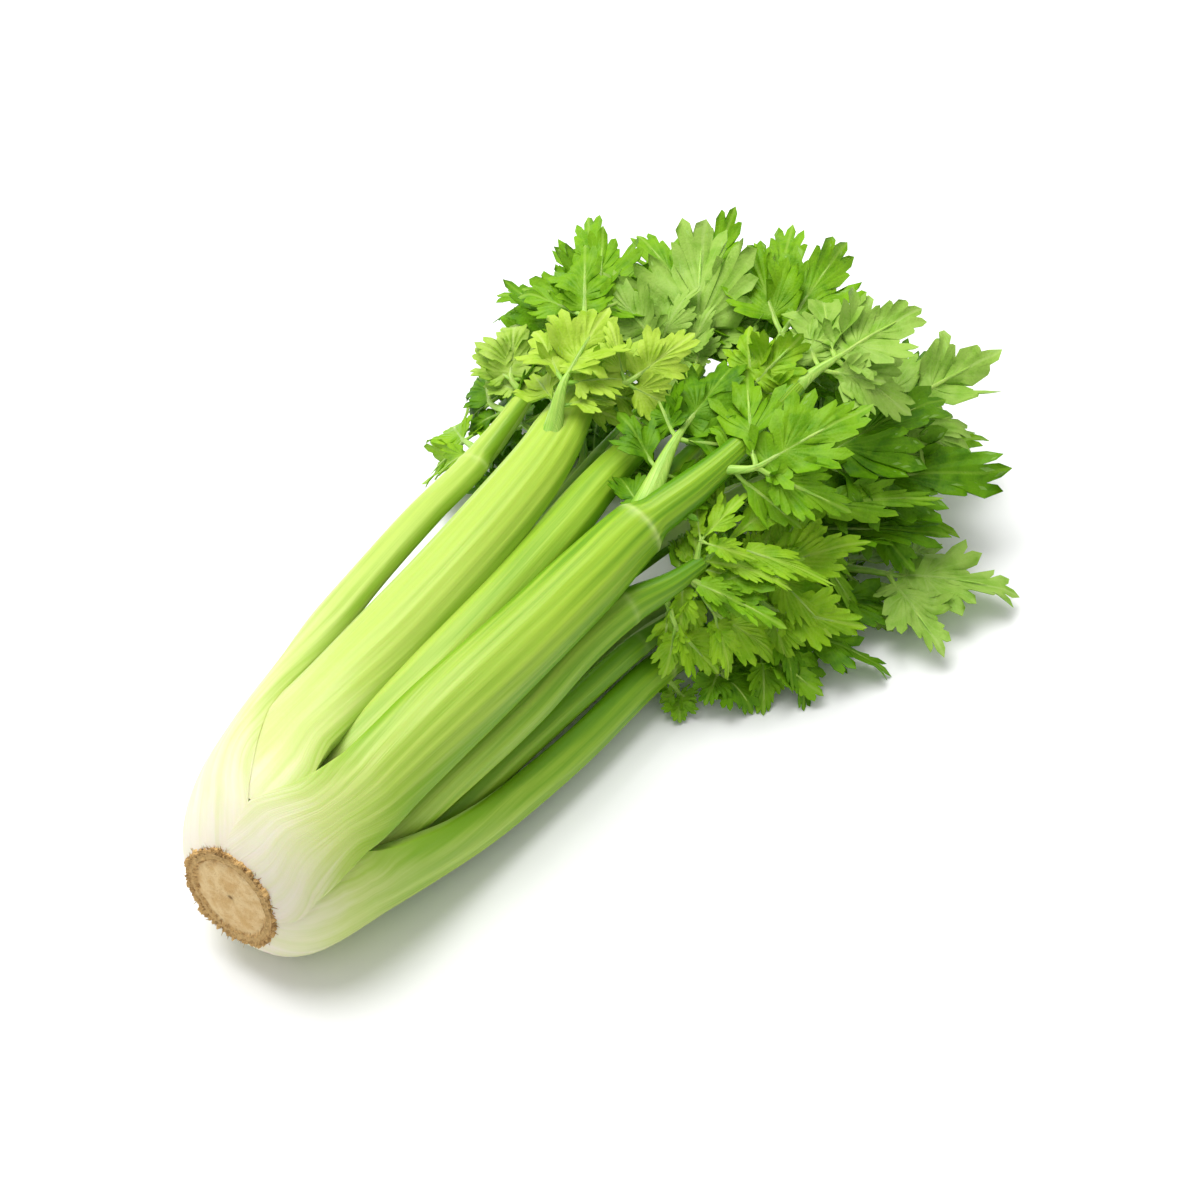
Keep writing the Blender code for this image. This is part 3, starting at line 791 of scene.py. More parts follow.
def stalk_shape(stalk):
    """A stalk's mesh. Past, crest and the other numbers are for its skin."""
    shape = Shape("past", "crest", "inner", "ring", "tone", "margin", "shade")
    ribs = Ribs(stalk)
    sheath = SHEATHS.get(stalk.name)
    shares = [(share, 1) for share in spread(OUTER_POINTS)]
    shares += [(share, -1) for share in spread(INNER_POINTS)[::-1]]
    rings = []
    for row in ROWS[stalk.name]:
        past = row.place.x - BUTT_X
        crowned = fade(row.run, *CROWNING)
        wrapped = 1 - fade(past, *SHEATH_END) if sheath else 0.0
        height = (BULB_RIBS + (1 - BULB_RIBS) * fade(past, *RIBS_RISE)) * (1 - CROWN_RIBS_LOST * crowned)
        line = []
        for share, face in shares:
            inner = float(face < 0)
            ragged = row.run + noise.noise(Vector((RING_RAGGED * share, ribs.seed, 0.0)))
            ring = RINGS.get(stalk.name, PLAIN_RING) * math.exp(-((ragged / RING_HALF) ** 2))
            crest = 0.0 if inner else ribs.crest(share, row.run)
            grain = Vector((SWELL_ALONG * row.run, SWELL_ACROSS * share + 5 * inner, ribs.seed + 9))
            lift = face * row.thick / 2 * thickness_at(share, crowned) + SWELL * noise.noise(grain)
            if not inner:
                lift += RIB_HEIGHT * height * crest * (1 - abs(share) ** RIB_EDGE)
                lift += RING_HEIGHT * ring * (1 - share ** RING_EDGE)
            place = section_place(row, share, lift)
            if wrapped:
                flush = (1 - inner) * EDGE_FLUSH * row.thick / 2 * (1 - thickness_at(share, 0.0))
                place = place.lerp(sheath_place(sheath, past, share, lift + flush, row.thick), wrapped)
            place.z = max(place.z, FLOOR_GAP)
            # Painted light and shade: lit is how far a point lies towards the lamp's side. Past is shifted so
            # that this side stays paler and the far side greens sooner, and shade paints the far side
            # greener.
            lit = (place - axis_at(place.x)).y / LIT_REACH
            line.append(shape.point(
                place, (CM * share * row.width / 2, CM * row.run, ribs.seed + inner),
                past=(past * (1 - PAINTED_LIGHT_STRETCH * lit) - PAINTED_LIGHT_SHIFT * lit) / 100,
                crest=crest * min(1.0, height * CREST_GAIN), inner=inner, ring=ring,
                tone=stalk.tone, margin=abs(share), shade=max(-lit, 0.0),
            ))
        rings.append(line)
    shape.sheet(rings, closed=True)
    shape.cap(rings[0])
    shape.cap(rings[-1], flip=True)
    return shape


print("points on the front stalk:", len(stalk_shape(FRONT).points))

# %% [markdown]
# ## The colour of a stalk
#
# The bulb never saw the sun, so it is cream, and it turns through yellow-green to green along the stalk.
# Chlorophyll sits between the strands, so the grooves are greener and the ribs paler. The margins are painted
# greener, as painted shade on the flanks that turn from the light, and each stalk is painted paler on the
# side towards the lamp and greener on the side away from it, as painted light and shade. One ramp from cream
# to green could do, but then every stalk would look flat, so there are two, a pale and a deep one, and the
# mask between them comes from grooves, margins, painted shade and fine streaks that run with the fibres:
# noise squeezed across the stalk and stretched along it. The skin is waxy and lets some light in.


# %% Stalk material
def stalk_skin():
    """Cream to green along the stalk and greener in its grooves, with painted shade at its margins and on the
    side away from the lamp, and painted light on the side towards it.
    """
    skin = Recipe("stalk_skin")
    flat = skin.attribute("flat", "Vector")
    # Past carries painted light and shade as well as the distance from the cut: it is shifted paler on the
    # lamp's side and greener on the side away from it.
    past, crest = skin.attribute("past"), skin.attribute("crest")
    streak = skin.noise(skin.stretch(flat, (22.0, 0.35, 1.0)), 1.0, detail=4.0)
    broad = skin.noise(skin.stretch(flat, (4.0, 0.12, 1.0)), 1.0, detail=2.0)
    blotch = skin.noise(skin.stretch(flat, (1.2, 0.5, 1.0)), 1.0)
    wander = past + (broad - 0.5) * 0.35 + (blotch - 0.5) * 0.2
    pale = skin.add("ShaderNodeValToRGB", {"stops": (
        (0.0, paint(226, 220, 200)), (0.03, paint(218, 217, 178)), (0.09, paint(200, 209, 134)),
        (0.2, paint(180, 202, 92)), (0.5, paint(162, 194, 56)), (0.8, paint(144, 184, 32)),
    )}, {0: wander / 4})
    deep = skin.add("ShaderNodeValToRGB", {"stops": (
        (0.0, paint(222, 212, 182)), (0.03, paint(200, 206, 144)), (0.09, paint(162, 188, 72)),
        (0.2, paint(124, 166, 20)), (0.5, paint(100, 150, 6)), (0.8, paint(80, 134, 2)),
    )}, {0: wander / 4})
    streaks = (streak - 0.5) * 0.4 + (broad - 0.5) * 0.9
    groove = skin.ease(1 - crest, 0.4, 1.0) * 0.16 + streaks
    # Painted shade: greener on the side away from the lamp.
    groove = groove + skin.attribute("tone") * 0.55 + skin.attribute("shade") * 0.3
    # Painted shade: greener towards the margins, on the flanks that turn from the light.
    groove = groove + skin.ease(skin.attribute("margin"), 0.4, 1.0) * 0.55
    groove = groove * (skin.ease(past, 0.0, 0.7) * 0.65 + 0.35)
    colour = skin.blend(skin.ease(groove, 0.0, 1.0), pale, deep)
    colour = skin.blend(skin.attribute("inner") * 0.5, colour, paint(206, 226, 140))
    colour = skin.blend(skin.attribute("ring") * 0.4, colour, paint(222, 232, 160))
    height = streak * 0.6 + broad * 0.8
    skin.skin(
        Base_Color=colour, Roughness=0.34 + streak * 0.16, Normal=skin.bump(height, 0.00035, 0.6),
        Subsurface_Weight=0.25, Subsurface_Radius=(0.5, 1.0, 0.25), Subsurface_Scale=0.004,
    )
    skin.surface.inputs["Specular IOR Level"].default_value = 0.3
    return skin.material


STALK_SKIN = stalk_skin()
print("nodes in the stalk's skin:", len(STALK_SKIN.node_tree.nodes))

# %% Put the stalks in place
for stalk in STALKS:
    made = stalk_shape(stalk).make(stalk.name + "_flesh", [STALK_SKIN])
    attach(made, "root")
    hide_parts(stalk.name)
print("stalks made:", len(STALKS))

# %% [markdown]
# ## The cut butt
#
# The knife leaves a round tan face that dries and browns. Round it, the stubs of old stalks that were
# pulled away dry into two ragged rings with a groove between them, and a small tuft stands up at the top.
# The rings could be modelled stub by stub, but they are only a few millimetres wide, so the face and the
# rings are one turned surface, given its frays by noise, and loose fibres stand on the outer ring.

# %% Butt mesh
BUTT_TURN = 240
BUTT_LINE = (  # radius, how far it stands out of the cut, how ragged it is
    (0.0, 0.5, 0.0), (1.2, 0.5, 0.1), (2.6, 0.6, 0.1), (4.5, 0.7, 0.15), (6.5, 0.7, 0.15), (8.5, 0.7, 0.15),
    (10.5, 0.65, 0.2), (12.2, 0.6, 0.2), (13.6, 0.5, 0.2), (14.8, 0.35, 0.25), (15.6, 0.1, 0.3),
    (16.1, 0.2, 0.5), (16.7, 0.9, 0.7), (17.3, 1.0, 0.8), (17.9, 0.7, 0.5), (18.4, 0.4, 0.3),
    (19.0, 0.5, 0.4), (19.7, 0.9, 0.8), (20.4, 1.2, 1.2), (21.1, 0.9, 1.4), (21.5, 0.0, 1.4),
    (21.3, -1.0, 1.0), (20.4, -2.0, 0.4), (19.2, -3.0, 0.0),
)
COARSE, FRAY, FINE, FACE = 2.2, 16, 45, 0.25  # the grains of the butt's noises
FACE_HEIGHT = 0.35


def grainy(seen, grain, layer):
    """Noise round the butt, finer for a larger grain and different for each layer."""
    return noise.noise(Vector((grain * seen.x, grain * seen.y, layer)))


def butt_shape():
    """The face, its two rings and the way in behind them, turned about the head's axis."""
    shape = Shape("radius", "out")
    centre = axis_at(BUTT_X)
    rings = []
    for radius, out, ragged in BUTT_LINE:
        ring = []
        for i in range(BUTT_TURN):
            angle = 2 * math.pi * i / BUTT_TURN
            seen = Vector((math.cos(angle), math.sin(angle), 0.0))
            coarse = grainy(seen, COARSE, 0.15 * radius)
            fray = grainy(seen, FRAY, 0.8 * radius)
            fine = grainy(seen, FINE, 1.6 * radius)
            face = grainy(seen, FACE * radius, 3.0)
            reach = radius + ragged * (0.8 * coarse + 0.9 * fray + 0.5 * fine)
            stand = out + ragged * (0.9 * fray + 0.6 * fine + 0.5 * coarse) + FACE_HEIGHT * face
            place = centre + Vector((-stand, reach * seen.x, reach * seen.y))
            ring.append(shape.point(
                place, (CM * radius * seen.x, CM * radius * seen.y, 0.05 * radius),
                radius=radius / 20, out=0.5 + 0.5 * fray,
            ))
        rings.append(ring)
    shape.sheet(rings, closed=True)
    return shape


butt = butt_shape()
print("points on the butt's face and rings:", len(butt.points))

# %% Loose fibres
FIBRE_RING, FIBRE_FRONT = (18.8, 21.2), (-0.8, 0.6)
FIBRE_LENGTH, FIBRE_WIDTH, FIBRE_TIP = (0.3, 1.0), (0.25, 0.7), 0.05
FIBRE_STEPS = 3
FIBRE_BEND = 0.25


def add_fibres(shape, count, middle, half_spread, longest):
    """Thin dry flakes that stand on the outer ring, round the clock that is their middle."""
    dice = random.Random(count)
    centre = axis_at(BUTT_X)
    for _ in range(count):
        clock = middle + half_spread * dice.uniform(-1, 1)
        away = off_axis(clock)
        round_it = off_axis(clock + 90)
        start = centre + dice.uniform(*FIBRE_RING) * away + Vector((dice.uniform(*FIBRE_FRONT), 0, 0))
        lean = 0.5 * away + Vector((dice.uniform(-0.9, 0.9), 0, 0)) + dice.uniform(-0.8, 0.8) * round_it
        lean.normalize()
        length, width = dice.uniform(*FIBRE_LENGTH) * longest, dice.uniform(*FIBRE_WIDTH)
        across = lean.cross(away).normalized()
        grid = []
        for step in range(FIBRE_STEPS + 1):
            share = step / FIBRE_STEPS
            place = start + share * length * lean + FIBRE_BEND * length * share * share * away
            half = width * (1 - share) / 2 + FIBRE_TIP
            grid.append([
                shape.point(
                    place + sign * half * across, (dice.random(), dice.random(), 2.0),
                    radius=1.02, out=0.2 + 0.3 * share,
                ) for sign in (-1, 1)
            ])
        shape.sheet(grid)


add_fibres(butt, 260, middle=0, half_spread=180, longest=2.4)
add_fibres(butt, 40, middle=14, half_spread=9, longest=4.2)
print("points on the whole butt:", len(butt.points))


# %% Butt material
def butt_skin():
    """A tan face with flecks and a slit, and two brown rings with a paler band between them."""
    skin = Recipe("cut_butt")
    flat = skin.attribute("flat", "Vector")
    radius, out = skin.attribute("radius"), skin.attribute("out")
    cloud = skin.noise(flat, 2.2, detail=5.0)
    fleck = skin.noise(flat, 14.0, detail=2.0)
    crumb = skin.noise(flat, 30.0, detail=3.0)
    face = skin.blend(skin.ease(cloud, 0.35, 0.7), paint(236, 208, 154), paint(216, 178, 118))
    face = skin.blend(skin.ease(fleck, 0.6, 0.75) * 0.5, face, paint(168, 122, 66))
    dry = skin.blend(skin.ease(crumb + out * 0.4, 0.38, 0.88), paint(120, 78, 34), paint(214, 176, 114))
    groove = skin.ease(radius, 0.84, 0.88) * (1 - skin.ease(radius, 0.94, 0.98))
    dry = skin.blend(groove * 0.6, dry, paint(222, 190, 130))
    uneven = radius + (cloud - 0.5) * 0.08
    slit = 1 - skin.ease(uneven, 0.02, 0.07)
    face = skin.blend(slit * 0.7, face, paint(120, 80, 36))
    colour = skin.blend(skin.ease(uneven, 0.77, 0.83), face, dry)
    skin.skin(Base_Color=colour, Roughness=0.75 + crumb * 0.2, Normal=skin.bump(crumb + fleck, 0.0006, 0.8))
    skin.surface.inputs["Specular IOR Level"].default_value = 0.25
    return skin.material


butt_piece = butt.make("butt_flesh", [butt_skin()], sharp=70)
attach(butt_piece, "root")
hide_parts("butt")
print("butt placed")

# %% [markdown]
# ## The outline of a leaflet
#
# A celery leaf is several leaflets on one branching stem, and each leaflet is cut into wedge-shaped lobes
# with coarse teeth at their ends. A lobe starts at some height on the midrib, and its veins fan out from
# there to its teeth. An outline could be a list of points, but no two leaflets are alike. So it is
# described by its lobes, and the corners follow: a tip for each tooth, a notch between teeth, and a deep
# cleft between lobes. Both halves come from the same lobes with different small changes, and every leaflet
# changes them again.

# %% Outlines
Corner = namedtuple("Corner", "kind across forward root")
Lobe = namedtuple("Lobe", "root direction reach spread teeth cleft")
LOBES = {  # from the tip back to the stem, in shares of the blade's length and degrees
    "broad": (
        Lobe(0.40, 0, 0.60, 34, 5, 0.2), Lobe(0.20, 52, 0.64, 24, 4, 0.14), Lobe(0.06, 86, 0.44, 14, 3, 0.10),
    ),
    "narrow": (Lobe(0.42, 0, 0.58, 20, 3, 0.12), Lobe(0.20, 42, 0.60, 14, 3, 0.10)),
    "fan": (Lobe(0.30, 0, 0.70, 32, 5, 0.3), Lobe(0.10, 54, 0.76, 26, 5, 0.12)),
}
NOTCH_DEPTH, NOTCH_CHANGE = 0.22, (0.7, 1.3)
SIDE_TOOTH, TOOTH_CHANGE = 0.3, 0.06
TOOTH_BULGE, EDGE_BULGE = 0.16, 0.04
LAST_TURN = 6  # degrees from the last tooth back to the stem
STEM_HALF = 0.02


def lobe_teeth(lobe, dice):
    """Direction and reach of each tooth. The end lobe is shared, so it gives only its own half."""
    teeth = []
    for tooth in range(lobe.teeth):
        turn = (2 * tooth / (lobe.teeth - 1) - 1) * lobe.spread
        if lobe.direction == 0 and tooth < (lobe.teeth - 1) / 2:
            continue
        shorter = 1 - SIDE_TOOTH * (turn / lobe.spread) ** 2
        change = dice.uniform(-TOOTH_CHANGE, TOOTH_CHANGE) if turn or lobe.direction else 0.0
        teeth.append((lobe.direction + turn, lobe.reach * (shorter + change)))
    return teeth


def half_outline(shape, side, dice):
    """One half's corners in shares of the blade's length, from the tip to the stem."""
    corners = []
    lobes = LOBES[shape]
    for number, lobe in enumerate(lobes):
        teeth = lobe_teeth(lobe, dice)
        for here, there in zip(teeth, teeth[1:] + [None]):
            corners.append(("tip", *here, lobe.root))
            if there:
                depth = 1 - NOTCH_DEPTH * dice.uniform(*NOTCH_CHANGE)
                turn, reach = (here[0] + there[0]) / 2, depth * (here[1] + there[1]) / 2
                corners.append(("notch", turn, reach, lobe.root))
        after = lobes[number + 1] if number + 1 < len(lobes) else None
        if after:
            turn = (lobe.direction + lobe.spread + after.direction - after.spread) / 2
            corners.append(("notch", turn, lobe.cleft, (lobe.root + after.root) / 2))
        else:
            corners.append(("edge", lobe.direction + lobe.spread + LAST_TURN, lobe.cleft, lobe.root / 2))
    half = []
    for kind, turn, reach, root in corners:
        angle = math.radians(turn)
        half.append(Corner(kind, side * reach * math.sin(angle), root + reach * math.cos(angle), root))
    return half + [Corner("edge", side * STEM_HALF, 0.0, 0.0)]


def with_bulges(corners):
    """Another corner between each two, pushed outwards next to a tooth."""
    line = [corners[0]]
    for here, there in zip(corners, corners[1:]):
        step_across, step_forward = there.across - here.across, there.forward - here.forward
        bulge = TOOTH_BULGE if "tip" in (here.kind, there.kind) else EDGE_BULGE
        line.append(Corner(
            "edge", (here.across + there.across) / 2 - bulge * step_forward,
            (here.forward + there.forward) / 2 + bulge * step_across, (here.root + there.root) / 2,
        ))
        line.append(there)
    return line


def outline(shape, length, width, dice):
    """Corners in millimetres, from the stem round one side, over the tip and back."""
    left, right = half_outline(shape, -1, dice), half_outline(shape, 1, dice)
    corners = with_bulges(left[::-1] + right[1:])
    widest = max(abs(corner.across) for corner in corners)
    return [
        Corner(kind, across * width / 2 / widest, forward * length, root * length)
        for kind, across, forward, root in corners
    ]


print("corners of a broad leaflet:", len(outline("broad", 50, 40, random.Random(1))))

# %% [markdown]
# ## A leaf in space
#
# A leaf is a stem that leaves the crown, with one leaflet at its end and two or three pairs of smaller ones
# beside it. A blade could be a flat cut-out bent by a modifier, but its veins would not meet the teeth. So
# a blade is a grid whose lines run from the midrib to the corners of the outline, and veins lie exactly on
# mesh lines. It is cupped, it dips along every vein, and its margin waves. Both faces are made, because the
# underside is paler and has a skin of its own. Stems are tapering, grooved tubes. The main one starts
# inside the crown, and each runs on under its blade as the midrib.

# %% Blades
BLADE_ROWS = 9
BLADE_THICKNESS = 0.34
MIDRIB_REACH = 0.72
CHANNEL, CHANNEL_HALF = 0.07, 4.0  # slope and half width of the dip along a vein
FLOOR_CLEAR = 0.25
NEAR_TIPS = 3
WAVES_ACROSS, WAVES_ALONG = 4.0, 5.0
RUMPLE, RUMPLE_SIZE = 0.15, 14

Blade = namedtuple("Blade", "base along face length width shape arch cup curl")


def segment_distance(x, y, corner):
    """From a point of the blade to the line of a vein."""
    dx, dy = corner.across, corner.forward - corner.root
    t = min(max((x * dx + (y - corner.root) * dy) / (dx * dx + dy * dy), 0.0), 1.0)
    return math.hypot(x - t * dx, y - corner.root - t * dy)


def blade_surface(blade, dice):
    """A function that puts a point of the flat blade in its place."""
    side = blade.face.cross(blade.along)
    phase, seed = dice.uniform(0, 6.0), 100 * dice.random()
    wave, twist = dice.uniform(0.05, 0.1), dice.uniform(-0.3, 0.3)

    def place_at(across, forward, share=0.0, vein=0.0):
        t, wide = forward / blade.length, 2 * across / blade.width
        height = blade.arch * blade.length * t * (1 - t) * 4 + blade.cup * blade.width * wide * wide
        height += CHANNEL * min(vein, CHANNEL_HALF) - blade.curl * blade.length * t * t
        height += wave * blade.width * share * math.sin(WAVES_ACROSS * wide + WAVES_ALONG * t + phase)
        spot = Vector((across / RUMPLE_SIZE, forward / RUMPLE_SIZE, seed))
        height += RUMPLE * blade.width * noise.noise(spot) * share
        height += twist * across * t
        place = blade.base + forward * blade.along + across * side + height * blade.face
        place.z = max(place.z, FLOOR_CLEAR)
        return place

    return place_at


def add_blade(shape, blade, dice, seed):
    """Both faces of one leaflet and its margin."""
    place_at = blade_surface(blade, dice)
    columns = outline(blade.shape, blade.length, blade.width, dice)
    tips = [i for i, corner in enumerate(columns) if corner.kind == "tip"]
    top, under = [], []
    for i, corner in enumerate(columns):
        near = sorted(tips, key=lambda tip: abs(tip - i))[:NEAR_TIPS]
        tops, unders = [], []
        for step in range(BLADE_ROWS + 1):
            share = step / BLADE_ROWS
            across = share * corner.across
            forward = corner.root + share * (corner.forward - corner.root)
            vein = min(segment_distance(across, forward, columns[tip]) for tip in near)
            numbers = {"vein": vein, "midrib": abs(across), "reach": share}
            flat = (CM * across, CM * forward, seed)
            here = place_at(across, forward, share, min(vein, abs(across)))
            below = here - BLADE_THICKNESS * blade.face
            if below.z < FLOOR_CLEAR:
                here = here + Vector((0, 0, FLOOR_CLEAR - below.z))
                below = here - BLADE_THICKNESS * blade.face
            tops.append(shape.point(here, flat, **numbers))
            unders.append(shape.point(below, flat, **numbers))
        top.append(tops)
        under.append(unders)
    shape.sheet(top, slot=0)
    shape.sheet(under, slot=1, flip=True)
    shape.sheet([[line[-1] for line in top], [line[-1] for line in under]], slot=0)
    return place_at


sample_blade = Blade(Vector(), Vector((1, 0, 0)), Vector((0, 0, 1)), 50, 40, "broad", 0.3, 0.1, 0.1)
sample_place = blade_surface(sample_blade, random.Random(1))
print("height of a sample blade's middle:", round(sample_place(0, 25).z, 1), "mm")

# %% Stems
STEM_SIDES = 14
STEM_GROOVE, GROOVE_WIDTH = 0.25, 0.12
STEM_RIBS, STEM_RIB_HEIGHT = 5, 0.04
FAR_FROM_VEINS = 9.0
BLADE_END = 1.1
FULL_WIDTH = 30  # the width from which a blade has a full midrib
STEM_TAPER, BRANCH_TAPER, MIDRIB_TAPER = 0.8, 1.0, 0.8
LEAVING, ARRIVING = 0.4, 0.35  # how far a stem holds its direction at each end
FEWEST_STEPS, STEM_STEP = 5, 2.5
MIDRIB_STEPS = 10
MIDRIB_TIP, MIDRIB_SINK = 0.12, 0.75


def curve(start, leaving, arriving, end, steps):
    """Places on one smooth bend."""
    places = []
    for step in range(steps + 1):
        t = step / steps
        s = 1 - t
        places.append(s ** 3 * start + 3 * t * s ** 2 * leaving + 3 * t * t * s * arriving + t ** 3 * end)
    return places


def add_tube(shape, path, face, seed):
    """A grooved tube through (place, radius) pairs, with its groove towards the face."""
    rings, run = [], 0.0
    for i, (place, radius) in enumerate(path):
        tangent = (path[min(i + 1, len(path) - 1)][0] - path[max(i - 1, 0)][0]).normalized()
        up = (face - face.dot(tangent) * tangent).normalized()
        across = up.cross(tangent)
        run += (place - path[max(i - 1, 0)][0]).length
        ring = []
        for spoke in range(STEM_SIDES):
            angle = 2 * math.pi * spoke / STEM_SIDES
            groove = STEM_GROOVE * math.exp(-((math.cos(angle) - 1) / GROOVE_WIDTH) ** 2)
            groove -= STEM_RIB_HEIGHT * math.cos(STEM_RIBS * angle)
            spot = place + radius * (1 - groove) * (math.cos(angle) * up + math.sin(angle) * across)
            spot.z = max(spot.z, FLOOR_CLEAR)
            flat = (CM * radius * angle, CM * run, seed)
            ring.append(shape.point(spot, flat, tube=1.0, vein=FAR_FROM_VEINS, midrib=FAR_FROM_VEINS))
        rings.append(ring)
    shape.sheet(rings, slot=2, closed=True)
    shape.cap(rings[-1], slot=2, flip=True)


def add_stem(shape, start, leaving, thick, blade, place_at, seed, taper=STEM_TAPER):
    """A stem to a blade's base, and on under the blade as its midrib."""
    end = place_at(0.0, 0.0)
    reach = (end - start).length
    steps = max(FEWEST_STEPS, round(reach / STEM_STEP))
    bend = curve(start, start + LEAVING * reach * leaving, end - ARRIVING * reach * blade.along, end, steps)
    joined = BLADE_END * min(1.0, blade.width / FULL_WIDTH)
    path = [(place, thick + (joined - thick) * (i / steps) ** taper) for i, place in enumerate(bend)]
    for step in range(1, MIDRIB_STEPS + 1):
        share = step / MIDRIB_STEPS
        radius = joined * (1 - share) ** MIDRIB_TAPER + MIDRIB_TIP
        under = MIDRIB_SINK * radius * blade.face
        path.append((place_at(0.0, MIDRIB_REACH * blade.length * share) - under, radius))
    add_tube(shape, path, blade.face, seed)
    return bend


sample_bend = curve(Vector(), Vector((0, 0, 20)), Vector((20, 0, 40)), Vector((40, 0, 40)), 8)
print("the middle of a sample bend:", [round(part, 1) for part in sample_bend[4]])

# %% Leaves
# Side, how far back along the main stem, and size
LEAFLETS = ((-1, 0.12, 1.0), (1, 0.12, 1.0), (-1, 0.5, 0.8), (1, 0.5, 0.8))
LOW_LEAFLETS = ((-1, 0.75, 0.75), (1, 0.8, 0.75))
# Leaves that also carry leaflets low on their stems, which close the inside of the head
LEAFY = (
    "leaf_silver", "leaf_silver_side", "leaf_heart_drop", "leaf_heart_curl", "leaf_heart_side",
    "leaf_heart_broad", "leaf_back_end", "leaf_back_dark", "leaf_deep_green", "leaf_low_slim",
    "leaf_far_floor", "leaf_floor_broad", "leaf_right_broad", "leaf_right_slim", "leaf_bright_upper",
    "leaf_top_side", "leaf_far_broad", "leaf_yellow_right", "leaf_front_left", "leaf_heart_tall",
    "leaf_right_fold",
)
LOW_BRANCH = 0.3  # up to this share of the crown, a stem starts deep in the stalk, as a branch
BRANCH_IN, BRANCH_FLAT, BRANCH_BACK, BRANCH_LEAN = 0.3, 0.24, 7, 0.3
CUP_CHANGE, MAIN_CURL, SIDE_CURL = (0.2, 1.0), (-0.05, 0.16), (0.0, 0.25)
LEAFLET_TURN, LEAFLET_TILT, LEAFLET_ROLL = (42, 68), (-0.4, 0.1), (-0.3, 0.6)
LEAFLET_SIZE, LEAFLET_STEM, LEAFLET_ARCH = (0.6, 0.85), 0.12, 0.04
LEAFLET_SHAPES = ("fan", "narrow", "broad")


def crown_row(stalk, along):
    """The crown's section at a share of its length."""
    target = along * len(stalk.crown)
    return min(ROWS[stalk.name], key=lambda row: abs(row.key - target))


def leaf_frame(stalk, leaf):
    """The section that the leaf springs from, its root, its direction, its face and its length."""
    row = crown_row(stalk, leaf.along)
    root = row.place + LEAF_GAP * row.along
    if leaf.along < 1.0:
        away = Vector(leaf.tip) - row.place
        away = (away - away.dot(row.along) * row.along).normalized()
        root = row.place + (0.5 * row.width + LEAF_GAP) * away
    reach = Vector(leaf.tip) - root
    along = reach.normalized()
    face = Vector(leaf.face)
    face = (face - face.dot(along) * along).normalized()
    return row, root, along, face, reach.length


def leaf_shape(stalk, leaf):
    """A leaf's main leaflet on its stem, and the pairs of leaflets beside it."""
    dice = random.Random(leaf.name)
    row, root, along, face, length = leaf_frame(stalk, leaf)
    seed = 100 * dice.random()
    shape = Shape("vein", "midrib", "reach", "tube")
    bare = leaf.stem
    base = root + bare * length * along + 4 * leaf.arch * length * bare * (1 - bare) * face
    main = Blade(
        base, along, face, (1 - bare) * length, leaf.width, leaf.shape, leaf.arch,
        BLADE_CUP * dice.uniform(*CUP_CHANGE), dice.uniform(*MAIN_CURL),
    )
    place_at = add_blade(shape, main, dice, seed)
    start, leaving, taper = row.place, row.along, STEM_TAPER
    if leaf.along < LOW_BRANCH:
        away = (root - row.place).normalized()
        deep = BRANCH_IN - BRANCH_FLAT * abs(away.dot(row.outward))
        start = row.place.lerp(root, deep) - BRANCH_BACK * row.along
        leaving = (row.along + BRANCH_LEAN * away).normalized()
        taper = BRANCH_TAPER
    bend = add_stem(shape, start, leaving, leaf.branch, main, place_at, seed, taper)
    side = face.cross(along)
    for sign, back, smaller in LEAFLETS + (LOW_LEAFLETS if leaf.name in LEAFY else ()):
        turn = math.radians(dice.uniform(*LEAFLET_TURN))
        away = math.cos(turn) * along + sign * math.sin(turn) * side + dice.uniform(*LEAFLET_TILT) * face
        away.normalize()
        roll = face + sign * dice.uniform(*LEAFLET_ROLL) * side
        roll = (roll - roll.dot(away) * away).normalized()
        size = smaller * dice.uniform(*LEAFLET_SIZE)
        spring = bend[-1 - round(back * len(bend))]
        leaflet = Blade(
            spring + LEAFLET_STEM * main.length * away, away, roll, size * main.length, size * main.width,
            dice.choice(LEAFLET_SHAPES), LEAFLET_ARCH,
            BLADE_CUP * dice.uniform(*CUP_CHANGE), dice.uniform(*SIDE_CURL),
        )
        surface = add_blade(shape, leaflet, dice, seed + sign + 5 * back)
        add_stem(shape, spring, (along + away).normalized(), BLADE_END, leaflet, surface, seed)
    return shape


print("points on one leaf:", len(leaf_shape(FRONT, FRONT.leaves[0]).points))

# %% [markdown]
# ## The colours of the leaves
#
# The leaves round the heart are young and yellow-green, and the outer ones are deep green. On every one the
# veins are paler, the skin between them is puckered, and the underside is a dull greyish green. One skin
# could do for all, but then the head would be one green, so each tone has an upper and a lower skin from
# the same recipe. A leaf is thin enough for light to come through, so a share of the surface is
# translucent.

# %% Leaf materials
TONES = {  # upper side, deeper patches, veins
    "deep": (paint(108, 162, 10), paint(66, 122, 2), paint(140, 184, 50)),
    "mid": (paint(134, 186, 24), paint(98, 156, 8), paint(164, 202, 76)),
    "bright": (paint(158, 204, 34), paint(122, 180, 12), paint(186, 218, 86)),
    "pale": (paint(186, 216, 92), paint(156, 198, 52), paint(204, 224, 130)),
    "yellow": (paint(190, 220, 76), paint(160, 200, 38), paint(206, 228, 112)),
    "silver": (paint(168, 204, 90), paint(134, 182, 54), paint(186, 214, 118)),
}
THROUGH = 0.28  # share of the light that goes through a blade
DULLNESS = 0.4


